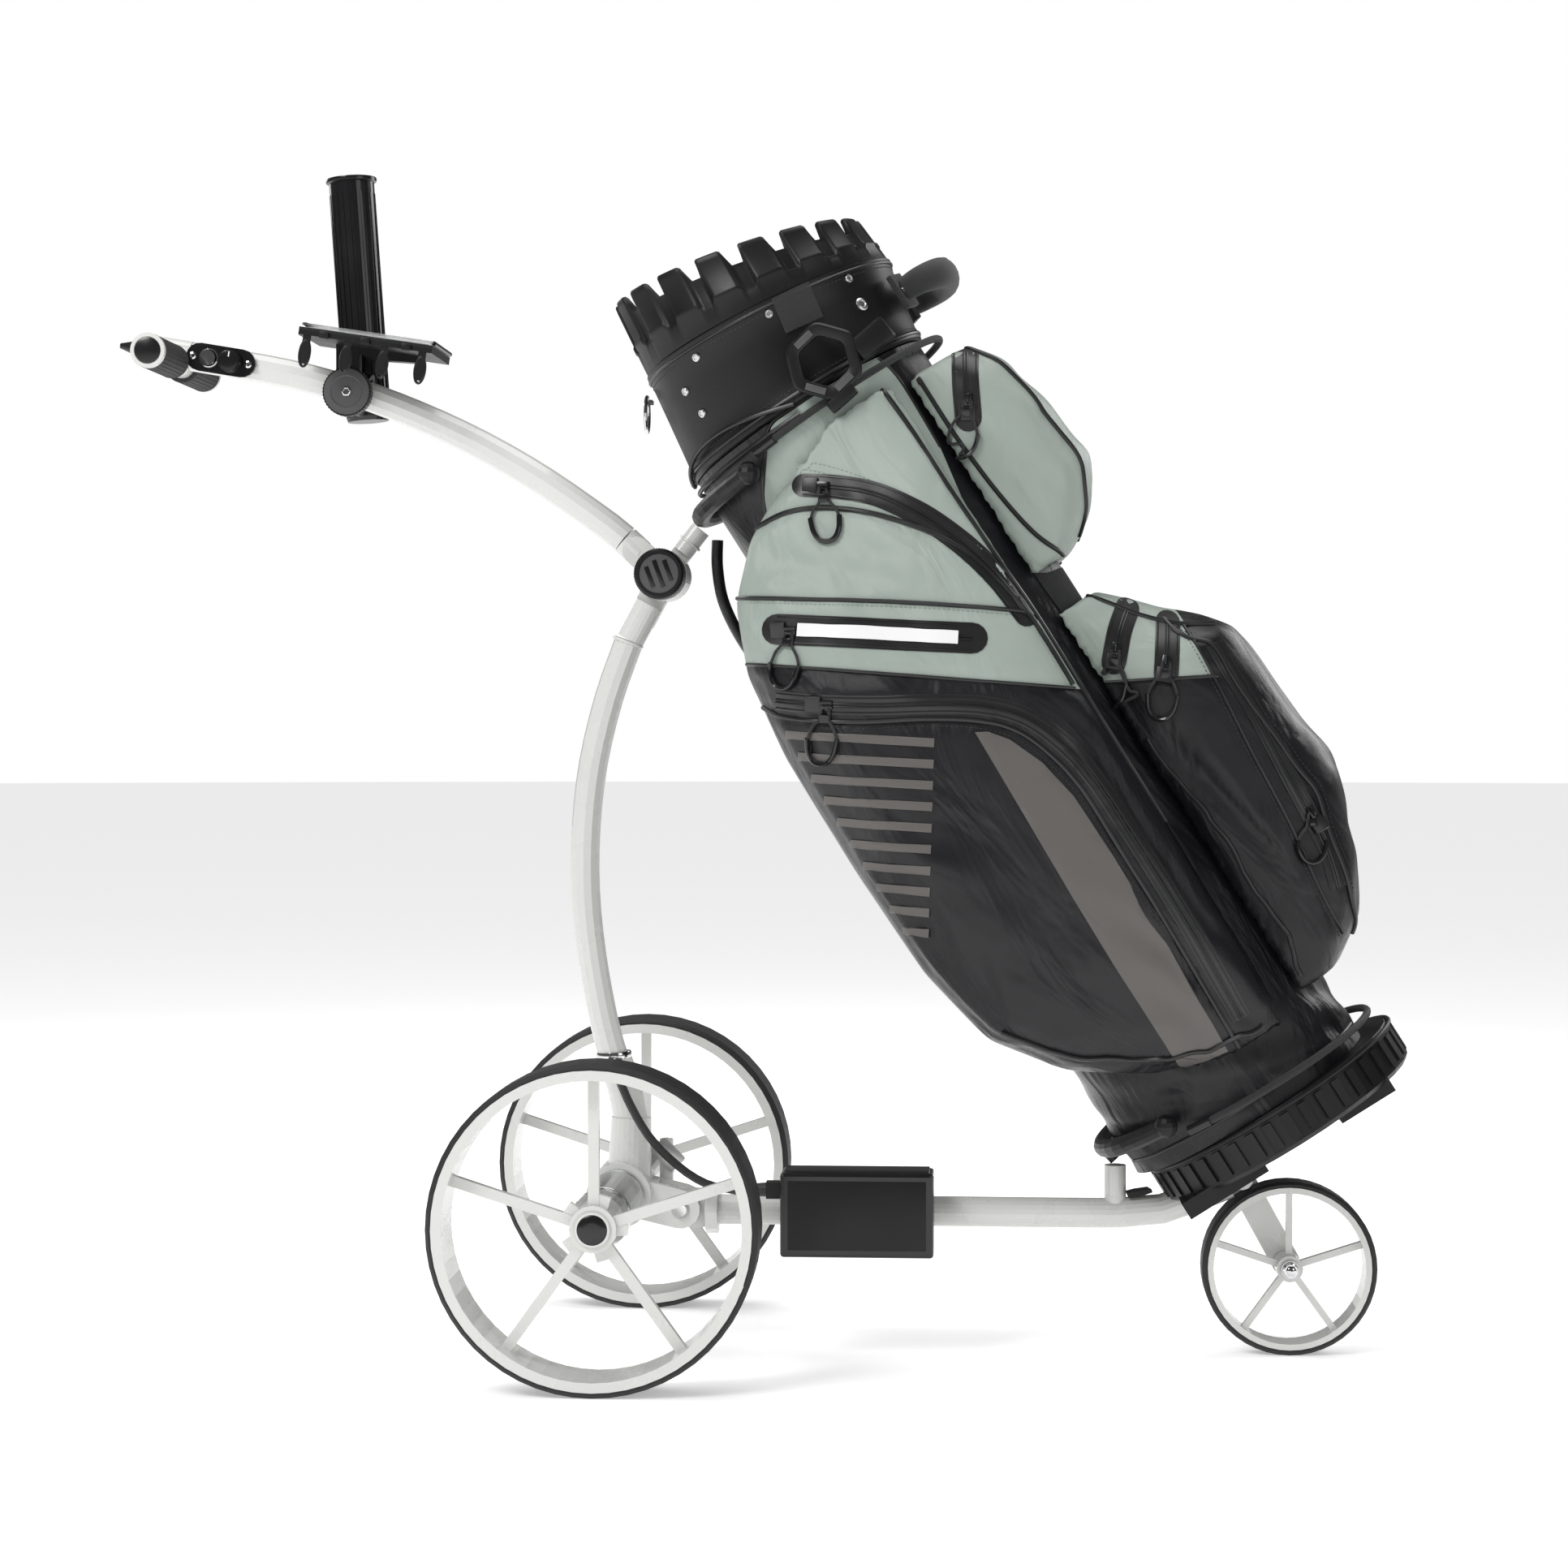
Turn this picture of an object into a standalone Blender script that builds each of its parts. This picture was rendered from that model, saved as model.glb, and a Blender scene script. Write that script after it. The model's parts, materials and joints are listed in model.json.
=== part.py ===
"""Three-wheeled golf trolley with motor drive, carrying a cart bag.

Metres, +Z up.  +X is the way the trolley rolls, +Y is its left side, and the
floor is Z = 0 under the middle of its overall length.
"""
from math import acos, atan2, cos, pi, radians, sin, sqrt

import bmesh
import bpy
from mathutils import Matrix, Vector

# ---- driving dimensions ------------------------------------------------------
GAP = 0.0003                      # between pieces that touch

REAR_X, REAR_RADIUS = -0.126, 0.144
REAR_WIDTH, TRACK = 0.060, 0.432  # track is centre to centre
FRONT_X, FRONT_RADIUS, FRONT_WIDTH = 0.491, 0.080, 0.034
TYRE_DEPTH = 0.0052
SPOKES = 5

MAIN_TUBE_R, LOWER_TUBE_R, HANDLE_TUBE_R = 0.0135, 0.0140, 0.0135
JOINT_X, JOINT_Z, JOINT_R = -0.0864, 0.7173, 0.0235
FOLD_X, FOLD_Z = -0.0695, 0.1305
SLEEVE_TOP = (-0.1332, 0, 0.2680)
TUBE_Z = 0.128                    # straight part of the lower tube
STUB_TILT = radians(52)

GRIP_X, GRIP_Z, GRIP_R, GRIP_END = -0.5444, 0.9175, 0.0155, 0.103
NOSE_X = -0.598

CLAMP_X, CLAMP_Z = -0.378, 0.8902
UMBRELLA_Y, UMBRELLA_R, UMBRELLA_LEAN = 0.042, 0.0213, radians(4.0)
TRAY_LOW, TRAY_HIGH = (-0.289, 0.926), (-0.411, 0.9445)
TRAY_Y = (-0.080, 0.0165)

BATTERY = ((0.0255, -0.0660, 0.0940), (0.1653, -0.0186, 0.1710))

# The bag has its own axes: u forward, y to the left, w up along its length.
BAG_X, BAG_Z, BAG_LEAN = 0.4883, 0.2000, radians(32.6)
BODY_U, BODY_A, BODY_B = -0.012, 0.122, 0.118   # body ellipse: centre, half axes
BODY_WALL = 0.006
BODY_SIDES = 32
POCKET_ROOT = radians(46)         # how far round the body the front pockets are sewn
BODY_LEVELS = (0.0450, 0.2950, 0.5450, 0.7990)  # foot, two seams and top
COLLAR_BOTTOM, COLLAR_TOP, COLLAR_SLOPE = 0.7993, 0.893, -0.12
CROWN_TOP, CROWN_SLOPE, CROWN_R = 0.9525, -0.24, 0.1165
CROWN_TEETH, TOOTH_DEPTH = 18, 0.016
RING_X, RING_Z = -0.1020, 0.8835   # top of the towel ring's bar
CRADLE_R, CRADLE_SPAN, CRADLE_TUBE_R = 0.137, radians(54), 0.0085
UPPER_CRADLE_W, LOWER_CRADLE_W = 0.7715, 0.0815

BAG = (Matrix.Translation((BAG_X, 0, BAG_Z)) @ Matrix.Rotation(-BAG_LEAN, 4, "Y"))


# ---- materials ---------------------------------------------------------------
def material(name, colour, roughness, metallic=0.0, alpha=1.0):
    made = bpy.data.materials.new(name)
    made.use_nodes = True
    shader = made.node_tree.nodes["Principled BSDF"]
    shader.inputs["Base Color"].default_value = (*colour, 1)
    shader.inputs["Roughness"].default_value = roughness
    shader.inputs["Metallic"].default_value = metallic
    shader.inputs["Alpha"].default_value = alpha
    return made


# ---- shapes ------------------------------------------------------------------
def object_from(name, shape, look, place=Matrix.Identity(4)):
    """Closes and orients a bmesh and makes it a named object."""
    bmesh.ops.remove_doubles(shape, verts=shape.verts, dist=1e-5)
    bmesh.ops.transform(shape, matrix=place, verts=shape.verts)
    bmesh.ops.recalc_face_normals(shape, faces=shape.faces)
    mesh = bpy.data.meshes.new(name)
    shape.to_mesh(mesh)
    shape.free()
    mesh.shade_smooth()
    mesh.set_sharp_from_angle(angle=radians(35))
    mesh.materials.append(look)
    made = bpy.data.objects.new(name, mesh)
    bpy.context.scene.collection.objects.link(made)
    return made


def add_rod(shape, start, end, radius, end_radius=None, sides=20):
    """A closed round bar between two points."""
    start, end = Vector(start), Vector(end)
    along = end - start
    turn = along.to_track_quat("Z", "Y").to_matrix().to_4x4()
    bmesh.ops.create_cone(
        shape, cap_ends=True, segments=sides, radius1=radius,
        radius2=radius if end_radius is None else end_radius, depth=along.length,
        matrix=Matrix.Translation((start + end) / 2) @ turn)


def add_box(shape, low, high):
    low, high = Vector(low), Vector(high)
    size = Matrix.Diagonal((*(high - low), 1))
    bmesh.ops.create_cube(shape, size=1, matrix=Matrix.Translation((low + high) / 2) @ size)


def add_ball(shape, centre, radius):
    bmesh.ops.create_uvsphere(shape, u_segments=12, v_segments=8, radius=radius,
                              matrix=Matrix.Translation(centre))


def add_turned(shape, profile, steps=48, closed=True):
    """Spins (radius, y) points about the Y axis; a closed profile makes a ring."""
    points = [shape.verts.new((radius, y, 0)) for radius, y in profile]
    pairs = zip(points, points[1:] + points[:1]) if closed else zip(points, points[1:])
    edges = [shape.edges.new(pair) for pair in pairs]
    bmesh.ops.spin(shape, geom=points + edges, cent=(0, 0, 0), axis=(0, 1, 0),
                   angle=2 * pi, steps=steps, use_merge=True, use_duplicate=False)


def add_prism(shape, outline, y_low, y_high):
    """Extrudes an (x, z) outline from y_low to y_high."""
    face = shape.faces.new([shape.verts.new((x, y_low, z)) for x, z in outline])
    pushed = bmesh.ops.extrude_face_region(shape, geom=[face])["geom"]
    corners = [item for item in pushed if isinstance(item, bmesh.types.BMVert)]
    bmesh.ops.translate(shape, vec=(0, y_high - y_low, 0), verts=corners)


def add_loft(shape, sections, ring=False):
    """Skins equal-length loops of points; the ends are capped, or joined in a ring."""
    loops = [[shape.verts.new(point) for point in section] for section in sections]
    pairs = list(zip(loops, loops[1:]))
    if ring:
        pairs.append((loops[-1], loops[0]))
    for low, high in pairs:
        for i, corner in enumerate(low):
            shape.faces.new((low[i - 1], corner, high[i], high[i - 1]))
    if not ring:
        shape.faces.new(loops[0])
        shape.faces.new(loops[-1])


def add_sweep(shape, path, radius, across, sides=12):
    """A closed round bar along a plane path; `across` is the plane's normal."""
    across = Vector(across).normalized()
    sections = []
    for before, point, after in zip([path[0]] + path, path, path[1:] + [path[-1]]):
        side = (after - before).cross(across).normalized()
        turns = [2 * pi * i / sides for i in range(sides)]
        sections.append([point + radius * (cos(turn) * side + sin(turn) * across) for turn in turns])
    add_loft(shape, sections)


def bolt(name, place, shank, ends):
    """A bolt along Y: each end is (y under the head, y at its top, radius)."""
    (low, low_top, low_r), (high, high_top, high_r) = ends
    profile = [(0, low_top), (low_r * 0.7, low_top), (low_r, low), (shank, low), (shank, high),
               (high_r, high), (high_r * 0.7, high_top), (0, high_top)]
    object_from(name, shape_of(add_turned, profile, steps=24, closed=False), LOOKS["chrome"],
                Matrix.Translation(place))


def shape_of(builder, *args, **kwargs):
    """One bmesh holding what a single add_ function makes."""
    shape = bmesh.new()
    builder(shape, *args, **kwargs)
    return shape


def capsule(start, end, width, steps=8):
    """An (x, z) outline with straight sides and round ends."""
    lean = atan2(end[1] - start[1], end[0] - start[0])
    outline = []
    for (x, z), turn in ((end, lean - pi / 2), (start, lean + pi / 2)):
        for i in range(steps + 1):
            angle = turn + pi * i / steps
            outline.append((x + width / 2 * cos(angle), z + width / 2 * sin(angle)))
    return outline


def smooth_path(points, spacing):
    """Points about `spacing` apart on a Catmull-Rom curve through the given ones."""
    knots = [Vector(point) for point in points]
    knots = [2 * knots[0] - knots[1]] + knots + [2 * knots[-1] - knots[-2]]
    path = []
    for before, start, end, after in zip(knots, knots[1:], knots[2:], knots[3:]):
        count = max(1, round((end - start).length / spacing))
        for i in range(count):
            t = i / count
            path.append(0.5 * (2 * start + (end - before) * t
                               + (2 * before - 5 * start + 4 * end - after) * t ** 2
                               + (3 * start - before - 3 * end + after) * t ** 3))
    return path + [knots[-2]]


def tube(name, points, radius, look, place=Matrix.Identity(4), resolution=3):
    """A curve with a round bevel and filled caps."""
    curve = bpy.data.curves.new(name, "CURVE")
    curve.dimensions = "3D"
    curve.bevel_depth = radius
    curve.bevel_resolution = resolution
    curve.use_fill_caps = True
    spline = curve.splines.new("POLY")
    spline.points.add(len(points) - 1)
    for knot, point in zip(spline.points, points):
        knot.co = (*(place @ Vector(point)), 1)
        knot.radius = 1
    curve.materials.append(look)
    made = bpy.data.objects.new(name, curve)
    bpy.context.scene.collection.objects.link(made)
    return made


def combine(target, operation, *tools):
    """Boolean of the target with each tool, which is kept as a hidden guide."""
    for tool in tools:
        step = target.modifiers.new(tool.name, "BOOLEAN")
        step.operation = operation
        step.object = tool
        tool.hide_render = True
        tool.display_type = "WIRE"


def guide(name, builder, *args, place=Matrix.Identity(4), **kwargs):
    return object_from("guide_" + name, shape_of(builder, *args, **kwargs), LOOKS["paint"], place)


# ---- wheels ------------------------------------------------------------------
def rounded_band(inner, outer, low, high, corner):
    """Ring section with its two outer corners rounded off."""
    return [(inner, low), (outer - corner, low), (outer, low + corner),
            (outer, high - corner), (outer - corner, high), (inner, high)]


def wheel_spokes(hub_r, rim_r, width, y_low, y_high):
    shape = bmesh.new()
    for i in range(SPOKES):
        angle = pi / 2 + 2 * pi * i / SPOKES
        start = (hub_r * cos(angle), hub_r * sin(angle))
        end = (rim_r * cos(angle), rim_r * sin(angle))
        side = Vector((-sin(angle), cos(angle))) * width / 2
        outline = [(start[0] + side.x, start[1] + side.y), (start[0] - side.x, start[1] - side.y),
                   (end[0] - side.x, end[1] - side.y), (end[0] + side.x, end[1] + side.y)]
        add_prism(shape, outline, y_low, y_high)
    return shape


def rear_wheel(side_name, side):
    """Tyre, one-piece rim with five spokes, and hub cap; side is +1 on the left."""
    place = Matrix.Translation((REAR_X, 0, REAR_RADIUS)) @ Matrix.Scale(side, 4, (0, 1, 0))
    inner, outer = TRACK / 2 - REAR_WIDTH / 2, TRACK / 2 + REAR_WIDTH / 2
    seat = REAR_RADIUS - TYRE_DEPTH
    object_from("tyre_" + side_name, shape_of(
        add_turned, rounded_band(seat + GAP, REAR_RADIUS, inner + 0.001, outer - 0.001, 0.003),
        steps=56), LOOKS["tyre"], place)
    rim = object_from("rim_" + side_name, shape_of(
        add_turned, [(0.130, inner), (seat, inner), (seat, outer), (0.130, outer)],
        steps=56), LOOKS["paint"], place)
    hub = guide("hub_" + side_name, add_turned,
                [(0.0064, 0.170), (0.0205, 0.170), (0.0205, 0.232), (0.0064, 0.232)],
                steps=24, place=place)
    spokes = object_from("guide_spokes_" + side_name,
                         wheel_spokes(0.0185, 0.1325, 0.0095, 0.216, 0.225), LOOKS["paint"], place)
    combine(rim, "UNION", hub, spokes)
    cap = shape_of(add_rod, (0, 0.232 + GAP, 0), (0, 0.2352, 0), 0.0135, sides=24)
    object_from("hub_cap_" + side_name, cap, LOOKS["black"], place)


def front_wheel():
    place = Matrix.Translation((FRONT_X, 0, FRONT_RADIUS))
    half, seat = FRONT_WIDTH / 2, FRONT_RADIUS - TYRE_DEPTH
    object_from("tyre_front", shape_of(
        add_turned, rounded_band(seat + GAP, FRONT_RADIUS, -half + 0.001, half - 0.001, 0.0025),
        steps=48), LOOKS["tyre"], place)
    rim = object_from("rim_front", shape_of(
        add_turned, [(0.0695, -half), (seat, -half), (seat, half), (0.0695, half)],
        steps=48), LOOKS["paint"], place)
    hub = guide("hub_front", add_turned,
                [(0.0053, -0.0175), (0.012, -0.0175), (0.012, 0.0175), (0.0053, 0.0175)],
                steps=24, place=place)
    spokes = object_from("guide_spokes_front", wheel_spokes(0.0105, 0.0715, 0.006, -0.008, -0.001),
                         LOOKS["paint"], place)
    combine(rim, "UNION", hub, spokes)


# ---- rear chassis ------------------------------------------------------------
def axle_casting():
    """Barrel on the wheel axis, tube socket above it and two ears for the front frame."""
    casting = object_from("axle_casting", shape_of(
        add_rod, (REAR_X, -0.032, REAR_RADIUS), (REAR_X, 0.032, REAR_RADIUS), 0.030, sides=32),
        LOOKS["paint"])
    socket = guide("socket", add_rod, (-0.1195, 0, 0.150), (-0.1175, 0, 0.2135), 0.021, 0.0185,
                   sides=24)
    ears = guide("ears", add_prism,
                 capsule((REAR_X + 0.016, REAR_RADIUS - 0.004), (FOLD_X, FOLD_Z), 0.036),
                 -0.0215, 0.0215)
    slot = guide("ear_slot", add_box, (FOLD_X - 0.022, -0.0120, 0.090), (0.0, 0.0120, 0.200))
    bolt_hole = guide("bolt_hole", add_rod, (FOLD_X, -0.05, FOLD_Z), (FOLD_X, 0.05, FOLD_Z), 0.0063)
    shaft_hole = guide("shaft_hole", add_rod, (REAR_X, -0.05, REAR_RADIUS),
                       (REAR_X, 0.05, REAR_RADIUS), 0.0075)
    sleeve_path = smooth_path([SLEEVE_TOP, (-0.1245, 0, 0.243), (-0.1178, 0, 0.2100)], 0.012)
    sleeve = guide("sleeve", add_sweep, sleeve_path, 0.0160, (0, 1, 0), 20)
    lug = guide("latch_lug", add_rod, (-0.087, 0.0260, 0.150), (-0.087, 0.0260, 0.190), 0.0065)
    combine(casting, "UNION", socket, ears, sleeve, lug)
    combine(casting, "DIFFERENCE", slot, bolt_hole, shaft_hole)
    bolt("fold_pivot_bolt", (FOLD_X, 0, FOLD_Z), 0.0058,
         ((-0.0218, -0.0260, 0.0085), (0.0218, 0.0260, 0.0085)))


def drive():
    """Two tubular motors, and the axle through them with a clutch disc beside each wheel."""
    axis = Matrix.Translation((REAR_X, 0, REAR_RADIUS))
    for name, side in (("left", 1), ("right", -1)):
        motor = [(0.0075, 0.032 + GAP), (0.025, 0.032 + GAP), (0.025, 0.158), (0.022, 0.1615),
                 (0.0075, 0.1615)]
        object_from("motor_" + name, shape_of(
            add_turned, [(radius, side * y) for radius, y in motor], steps=32), LOOKS["silver"], axis)
    half = [(0.0060, 0.1618), (0.0256, 0.1618), (0.0256, 0.1695), (0.0060, 0.1695),
            (0.0060, 0.2310), (0, 0.2310)]
    profile = [(radius, -y) for radius, y in reversed(half)] + half
    object_from("drive_axle", shape_of(add_turned, profile, steps=32, closed=False),
                LOOKS["chrome"], axis)


def main_tube():
    arc = [(-0.1195, 0, 0.6560), (-0.1380, 0, 0.604), (-0.1526, 0, 0.5436), (-0.1595, 0, 0.4834),
           (-0.1600, 0, 0.4230), (-0.1540, 0, 0.3630), (-0.1430, 0, 0.3030), (-0.1336, 0, 0.2693)]
    path = smooth_path(arc, 0.022)
    tube("main_tube", path, MAIN_TUBE_R, LOOKS["paint"], resolution=4)


def joint_lug(shape, direction, y_low, y_high, reach):
    """Tongue from the middle joint's disc out along a direction."""
    end = (JOINT_X + reach * direction[0], JOINT_Z + reach * direction[1])
    add_prism(shape, capsule((JOINT_X, JOINT_Z), end, 0.026), y_low, y_high)


def middle_joint():
    """Two discs face to face: the far one carries the main tube and cradle stub."""
    down = Vector((-0.1195 - JOINT_X, 0.6560 - JOINT_Z)).normalized()
    up = Vector((cos(STUB_TILT), sin(STUB_TILT)))
    housing = object_from("joint_housing", shape_of(
        add_rod, (JOINT_X, GAP, JOINT_Z), (JOINT_X, 0.0240, JOINT_Z), JOINT_R, sides=40),
        LOOKS["paint"])
    lugs = bmesh.new()
    joint_lug(lugs, down, 0.0006, 0.0130, 0.046)
    stub = guide("stub", add_rod, (JOINT_X + 0.0275 * up.x, 0, JOINT_Z + 0.0275 * up.y),
                 (JOINT_X + 0.055 * up.x, 0, JOINT_Z + 0.055 * up.y), 0.0100, sides=24)
    stub_lug = guide("stub_lug", add_prism,
                     capsule((JOINT_X, JOINT_Z), (JOINT_X + 0.036 * up.x, JOINT_Z + 0.036 * up.y),
                             0.018), 0.0006, 0.0095)
    socket = guide("main_socket", add_rod,
                   (JOINT_X + 0.0300 * down.x, 0, JOINT_Z + 0.0300 * down.y),
                   (JOINT_X + 0.0674 * down.x, 0, JOINT_Z + 0.0674 * down.y), 0.0135, sides=24)
    bore = guide("joint_bore", add_rod, (JOINT_X, -0.05, JOINT_Z), (JOINT_X, 0.05, JOINT_Z), 0.0063)
    combine(housing, "UNION", object_from("guide_down_lug", lugs, LOOKS["paint"]), stub, stub_lug,
            socket)
    combine(housing, "DIFFERENCE", bore)
    bolt("joint_bolt", (JOINT_X, 0, JOINT_Z), 0.0058,
         ((-0.0236, -0.0238, 0.0058), (0.0243, 0.0300, 0.0120)))
    knob = shape_of(add_rod, (JOINT_X, -0.0500, JOINT_Z), (JOINT_X, -0.0246, JOINT_Z), 0.0228,
                    sides=40)
    object_from("hinge_knob", knob, LOOKS["black"])


# ---- cradles -----------------------------------------------------------------
def cradle(name, level, stem):
    """Yoke around the bag's back, its stem, and a ball at each end for the bungee."""
    arc = [BAG @ Vector((BODY_U + 0.002 - CRADLE_R * cos(angle), CRADLE_R * sin(angle), level))
           for angle in (CRADLE_SPAN * i / 8 for i in range(-8, 9))]
    yoke = object_from(name, shape_of(add_sweep, arc, CRADLE_TUBE_R, BAG.to_3x3() @ Vector((0, 0, 1))),
                       LOOKS["black"])
    link = guide(name + "_stem", add_rod, stem, arc[8], 0.0055, sides=12)
    tips = bmesh.new()
    for tip, inner in ((arc[0], arc[1]), (arc[-1], arc[-2])):
        add_ball(tips, tip + (tip - inner).normalized() * 0.006, 0.0105)
    combine(yoke, "UNION", link, object_from("guide_" + name + "_balls", tips, LOOKS["black"]))


# ---- front frame -------------------------------------------------------------
def front_frame():
    block = object_from("frame_block", shape_of(
        add_prism, capsule((FOLD_X, FOLD_Z), (-0.0535, 0.129), 0.034), -0.0117, 0.0117),
        LOOKS["paint"])
    collar = guide("block_collar", add_rod, (-0.0470, 0, TUBE_Z), (-0.0358, 0, TUBE_Z), 0.0225,
                   sides=8)
    hole = guide("block_hole", add_rod, (FOLD_X, -0.05, FOLD_Z), (FOLD_X, 0.05, FOLD_Z), 0.0063)
    combine(block, "UNION", collar)
    combine(block, "DIFFERENCE", hole)
    route = [(-0.0355, 0, TUBE_Z), (0.150, 0, TUBE_Z), (0.335, 0, TUBE_Z), (0.375, 0, 0.1320),
             (0.436, 0, 0.1560)]
    lower = object_from("lower_tube", shape_of(add_sweep, smooth_path(route, 0.030), LOWER_TUBE_R,
                                               (0, 1, 0), 20), LOOKS["paint"])
    combine(lower, "UNION", guide("cradle_post", add_rod, (0.332, 0, TUBE_Z), (0.332, 0, 0.1725),
                                  0.0100, sides=24))
    pad = shape_of(add_prism, [(0.344, 0.1432), (0.358, 0.1457), (0.366, 0.1487), (0.362, 0.1510),
                               (0.350, 0.1492), (0.342, 0.1470)], -0.011, 0.011)
    object_from("bag_foot_pad", pad, LOOKS["black"])
    blade = object_from("fork_blade", shape_of(
        add_prism, capsule((0.4470, 0.1600), (FRONT_X, FRONT_RADIUS), 0.026), 0.0195, 0.0255),
        LOOKS["paint"])
    head = guide("fork_head", add_rod, (0.4478, -0.0120, 0.1615), (0.4478, 0.0200, 0.1615), 0.0098)
    axle_hole = guide("axle_hole", add_rod, (FRONT_X, -0.05, FRONT_RADIUS),
                      (FRONT_X, 0.05, FRONT_RADIUS), 0.0053)
    combine(blade, "UNION", head)
    combine(blade, "DIFFERENCE", axle_hole)
    bolt("front_axle", (FRONT_X, 0, FRONT_RADIUS), 0.0050,
         ((-0.0183, -0.0290, 0.0085), (0.0258, 0.0300, 0.0085)))


def battery():
    low, high = BATTERY
    case = object_from("battery_case", shape_of(add_box, low, high), LOOKS["black"])
    edge = case.modifiers.new("rounded", "BEVEL")
    edge.width, edge.segments = 0.003, 2
    rings = bmesh.new()
    for x in (0.055, 0.125):
        ring = [(0.0143, x), (0.0181, x), (0.0181, x + 0.018), (0.0143, x + 0.018)]
        add_turned(rings, ring, steps=32)
    turn = Matrix.Translation((0, 0, TUBE_Z)) @ Matrix.Rotation(-pi / 2, 4, "Z")
    clamps = object_from("battery_clamps", rings, LOOKS["black"], turn)
    combine(clamps, "UNION", guide("clamp_saddle", add_box, (0.0600, -0.0180, TUBE_Z - 0.006),
                                   (0.1300, -0.0160, TUBE_Z + 0.006)))
    object_from("battery_plug", shape_of(add_box, (0.0115, -0.0480, 0.1450), (0.0252, -0.0320, 0.1600)),
                LOOKS["black"])
    route = [(-0.1283, -0.0210, 0.262), (-0.1273, -0.0270, 0.2570), (-0.1180, -0.0300, 0.2340),
             (-0.0980, -0.0360, 0.2010), (-0.0710, -0.0385, 0.1740), (-0.0445, -0.0400, 0.1575),
             (-0.0180, -0.0400, 0.1520), (0.0112, -0.0400, 0.1525)]
    tube("motor_cable", smooth_path(route, 0.010), 0.0040, LOOKS["black"], resolution=2)


# ---- handle ------------------------------------------------------------------
def handle():
    arc = [(-0.5300, 0, 0.9238), (-0.5056, 0, 0.9195), (-0.4380, 0, 0.9070), (-0.3780, 0, 0.8905),
           (-0.3177, 0, 0.8680), (-0.2575, 0, 0.8400), (-0.1970, 0, 0.8050), (-0.1370, 0, 0.7630),
           (-0.1230, 0, 0.7515)]
    path = smooth_path(arc, 0.024)
    tube("handle_tube", path, HANDLE_TUBE_R, LOOKS["paint"], resolution=4)
    direction = Vector((-0.1230 - JOINT_X, 0.7515 - JOINT_Z)).normalized()
    joint = object_from("handle_joint", shape_of(
        add_rod, (JOINT_X, -0.0240, JOINT_Z), (JOINT_X, -GAP, JOINT_Z), JOINT_R, sides=40),
        LOOKS["paint"])
    lug = guide("handle_lug", add_prism,
                capsule((JOINT_X, JOINT_Z), (JOINT_X + 0.034 * direction.x,
                                             JOINT_Z + 0.034 * direction.y), 0.026),
                -0.0130, -0.0006)
    near, far = (Vector((JOINT_X, 0, JOINT_Z)) + reach * Vector((direction.x, 0, direction.y))
                 for reach in (0.0300, 0.0488))
    socket = guide("handle_socket", add_rod, near, far, 0.0135, sides=24)
    bore = guide("handle_bore", add_rod, (JOINT_X, -0.05, JOINT_Z), (JOINT_X, 0.05, JOINT_Z), 0.0063)
    combine(joint, "UNION", lug, socket)
    combine(joint, "DIFFERENCE", bore)


def grips():
    """Cross bar on its junction sleeve, two foam grips and the nose cone."""
    place = Matrix.Translation((GRIP_X, 0, GRIP_Z))
    half = [(0.0120, GRIP_END + GAP), (GRIP_R + 0.0004, GRIP_END + GAP),
            (GRIP_R + 0.0004, GRIP_END + 0.005), (0, GRIP_END + 0.005)]
    profile = [(radius, -y) for radius, y in reversed(half)] + half
    bar = object_from("cross_bar", shape_of(add_turned, profile, steps=32, closed=False),
                      LOOKS["paint"], place)
    combine(bar, "UNION", guide("junction", add_rod, (-0.5612, 0, 0.9291), (-0.5305, 0, 0.9239),
                                0.0137, sides=28))
    for name, side in (("grip_left", 1), ("grip_right", -1)):
        foam = [(0.0123, 0.0185), (GRIP_R, 0.0185), (GRIP_R, GRIP_END), (0.0123, GRIP_END)]
        object_from(name, shape_of(add_turned, [(radius, side * y) for radius, y in foam],
                                   steps=32), LOOKS["rubber"], place)
    object_from("nose_cone", shape_of(add_rod, (-0.5616, 0, 0.9292), (NOSE_X, 0, 0.9345), 0.0138,
                                      0.0025, sides=24), LOOKS["black"])


def controls():
    """Switch plate on the handle's right side, with its button and dial."""
    slope = radians(-9.5)
    place = Matrix.Translation((-0.4990, 0, 0.9185)) @ Matrix.Rotation(-slope, 4, "Y")
    object_from("control_plate", shape_of(
        add_prism, capsule((-0.0200, 0), (0.0200, 0), 0.0260), -0.0175, -0.0138), LOOKS["black"],
        place)
    button = shape_of(add_rod, (-0.0110, -0.0198, 0), (-0.0110, -0.0240, 0), 0.0070, sides=24)
    object_from("power_button", button, LOOKS["chrome"], place)
    dial = shape_of(add_rod, (0.0100, -0.0178, 0), (0.0100, -0.0300, 0), 0.0110, 0.0098, sides=32)
    object_from("speed_dial", dial, LOOKS["black"], place)


def tray_matrix():
    (low_x, low_z), (high_x, high_z) = TRAY_LOW, TRAY_HIGH
    turn = atan2(high_z - low_z, low_x - high_x)
    return Matrix.Translation((high_x, 0, high_z)) @ Matrix.Rotation(turn, 4, "Y")


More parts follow.
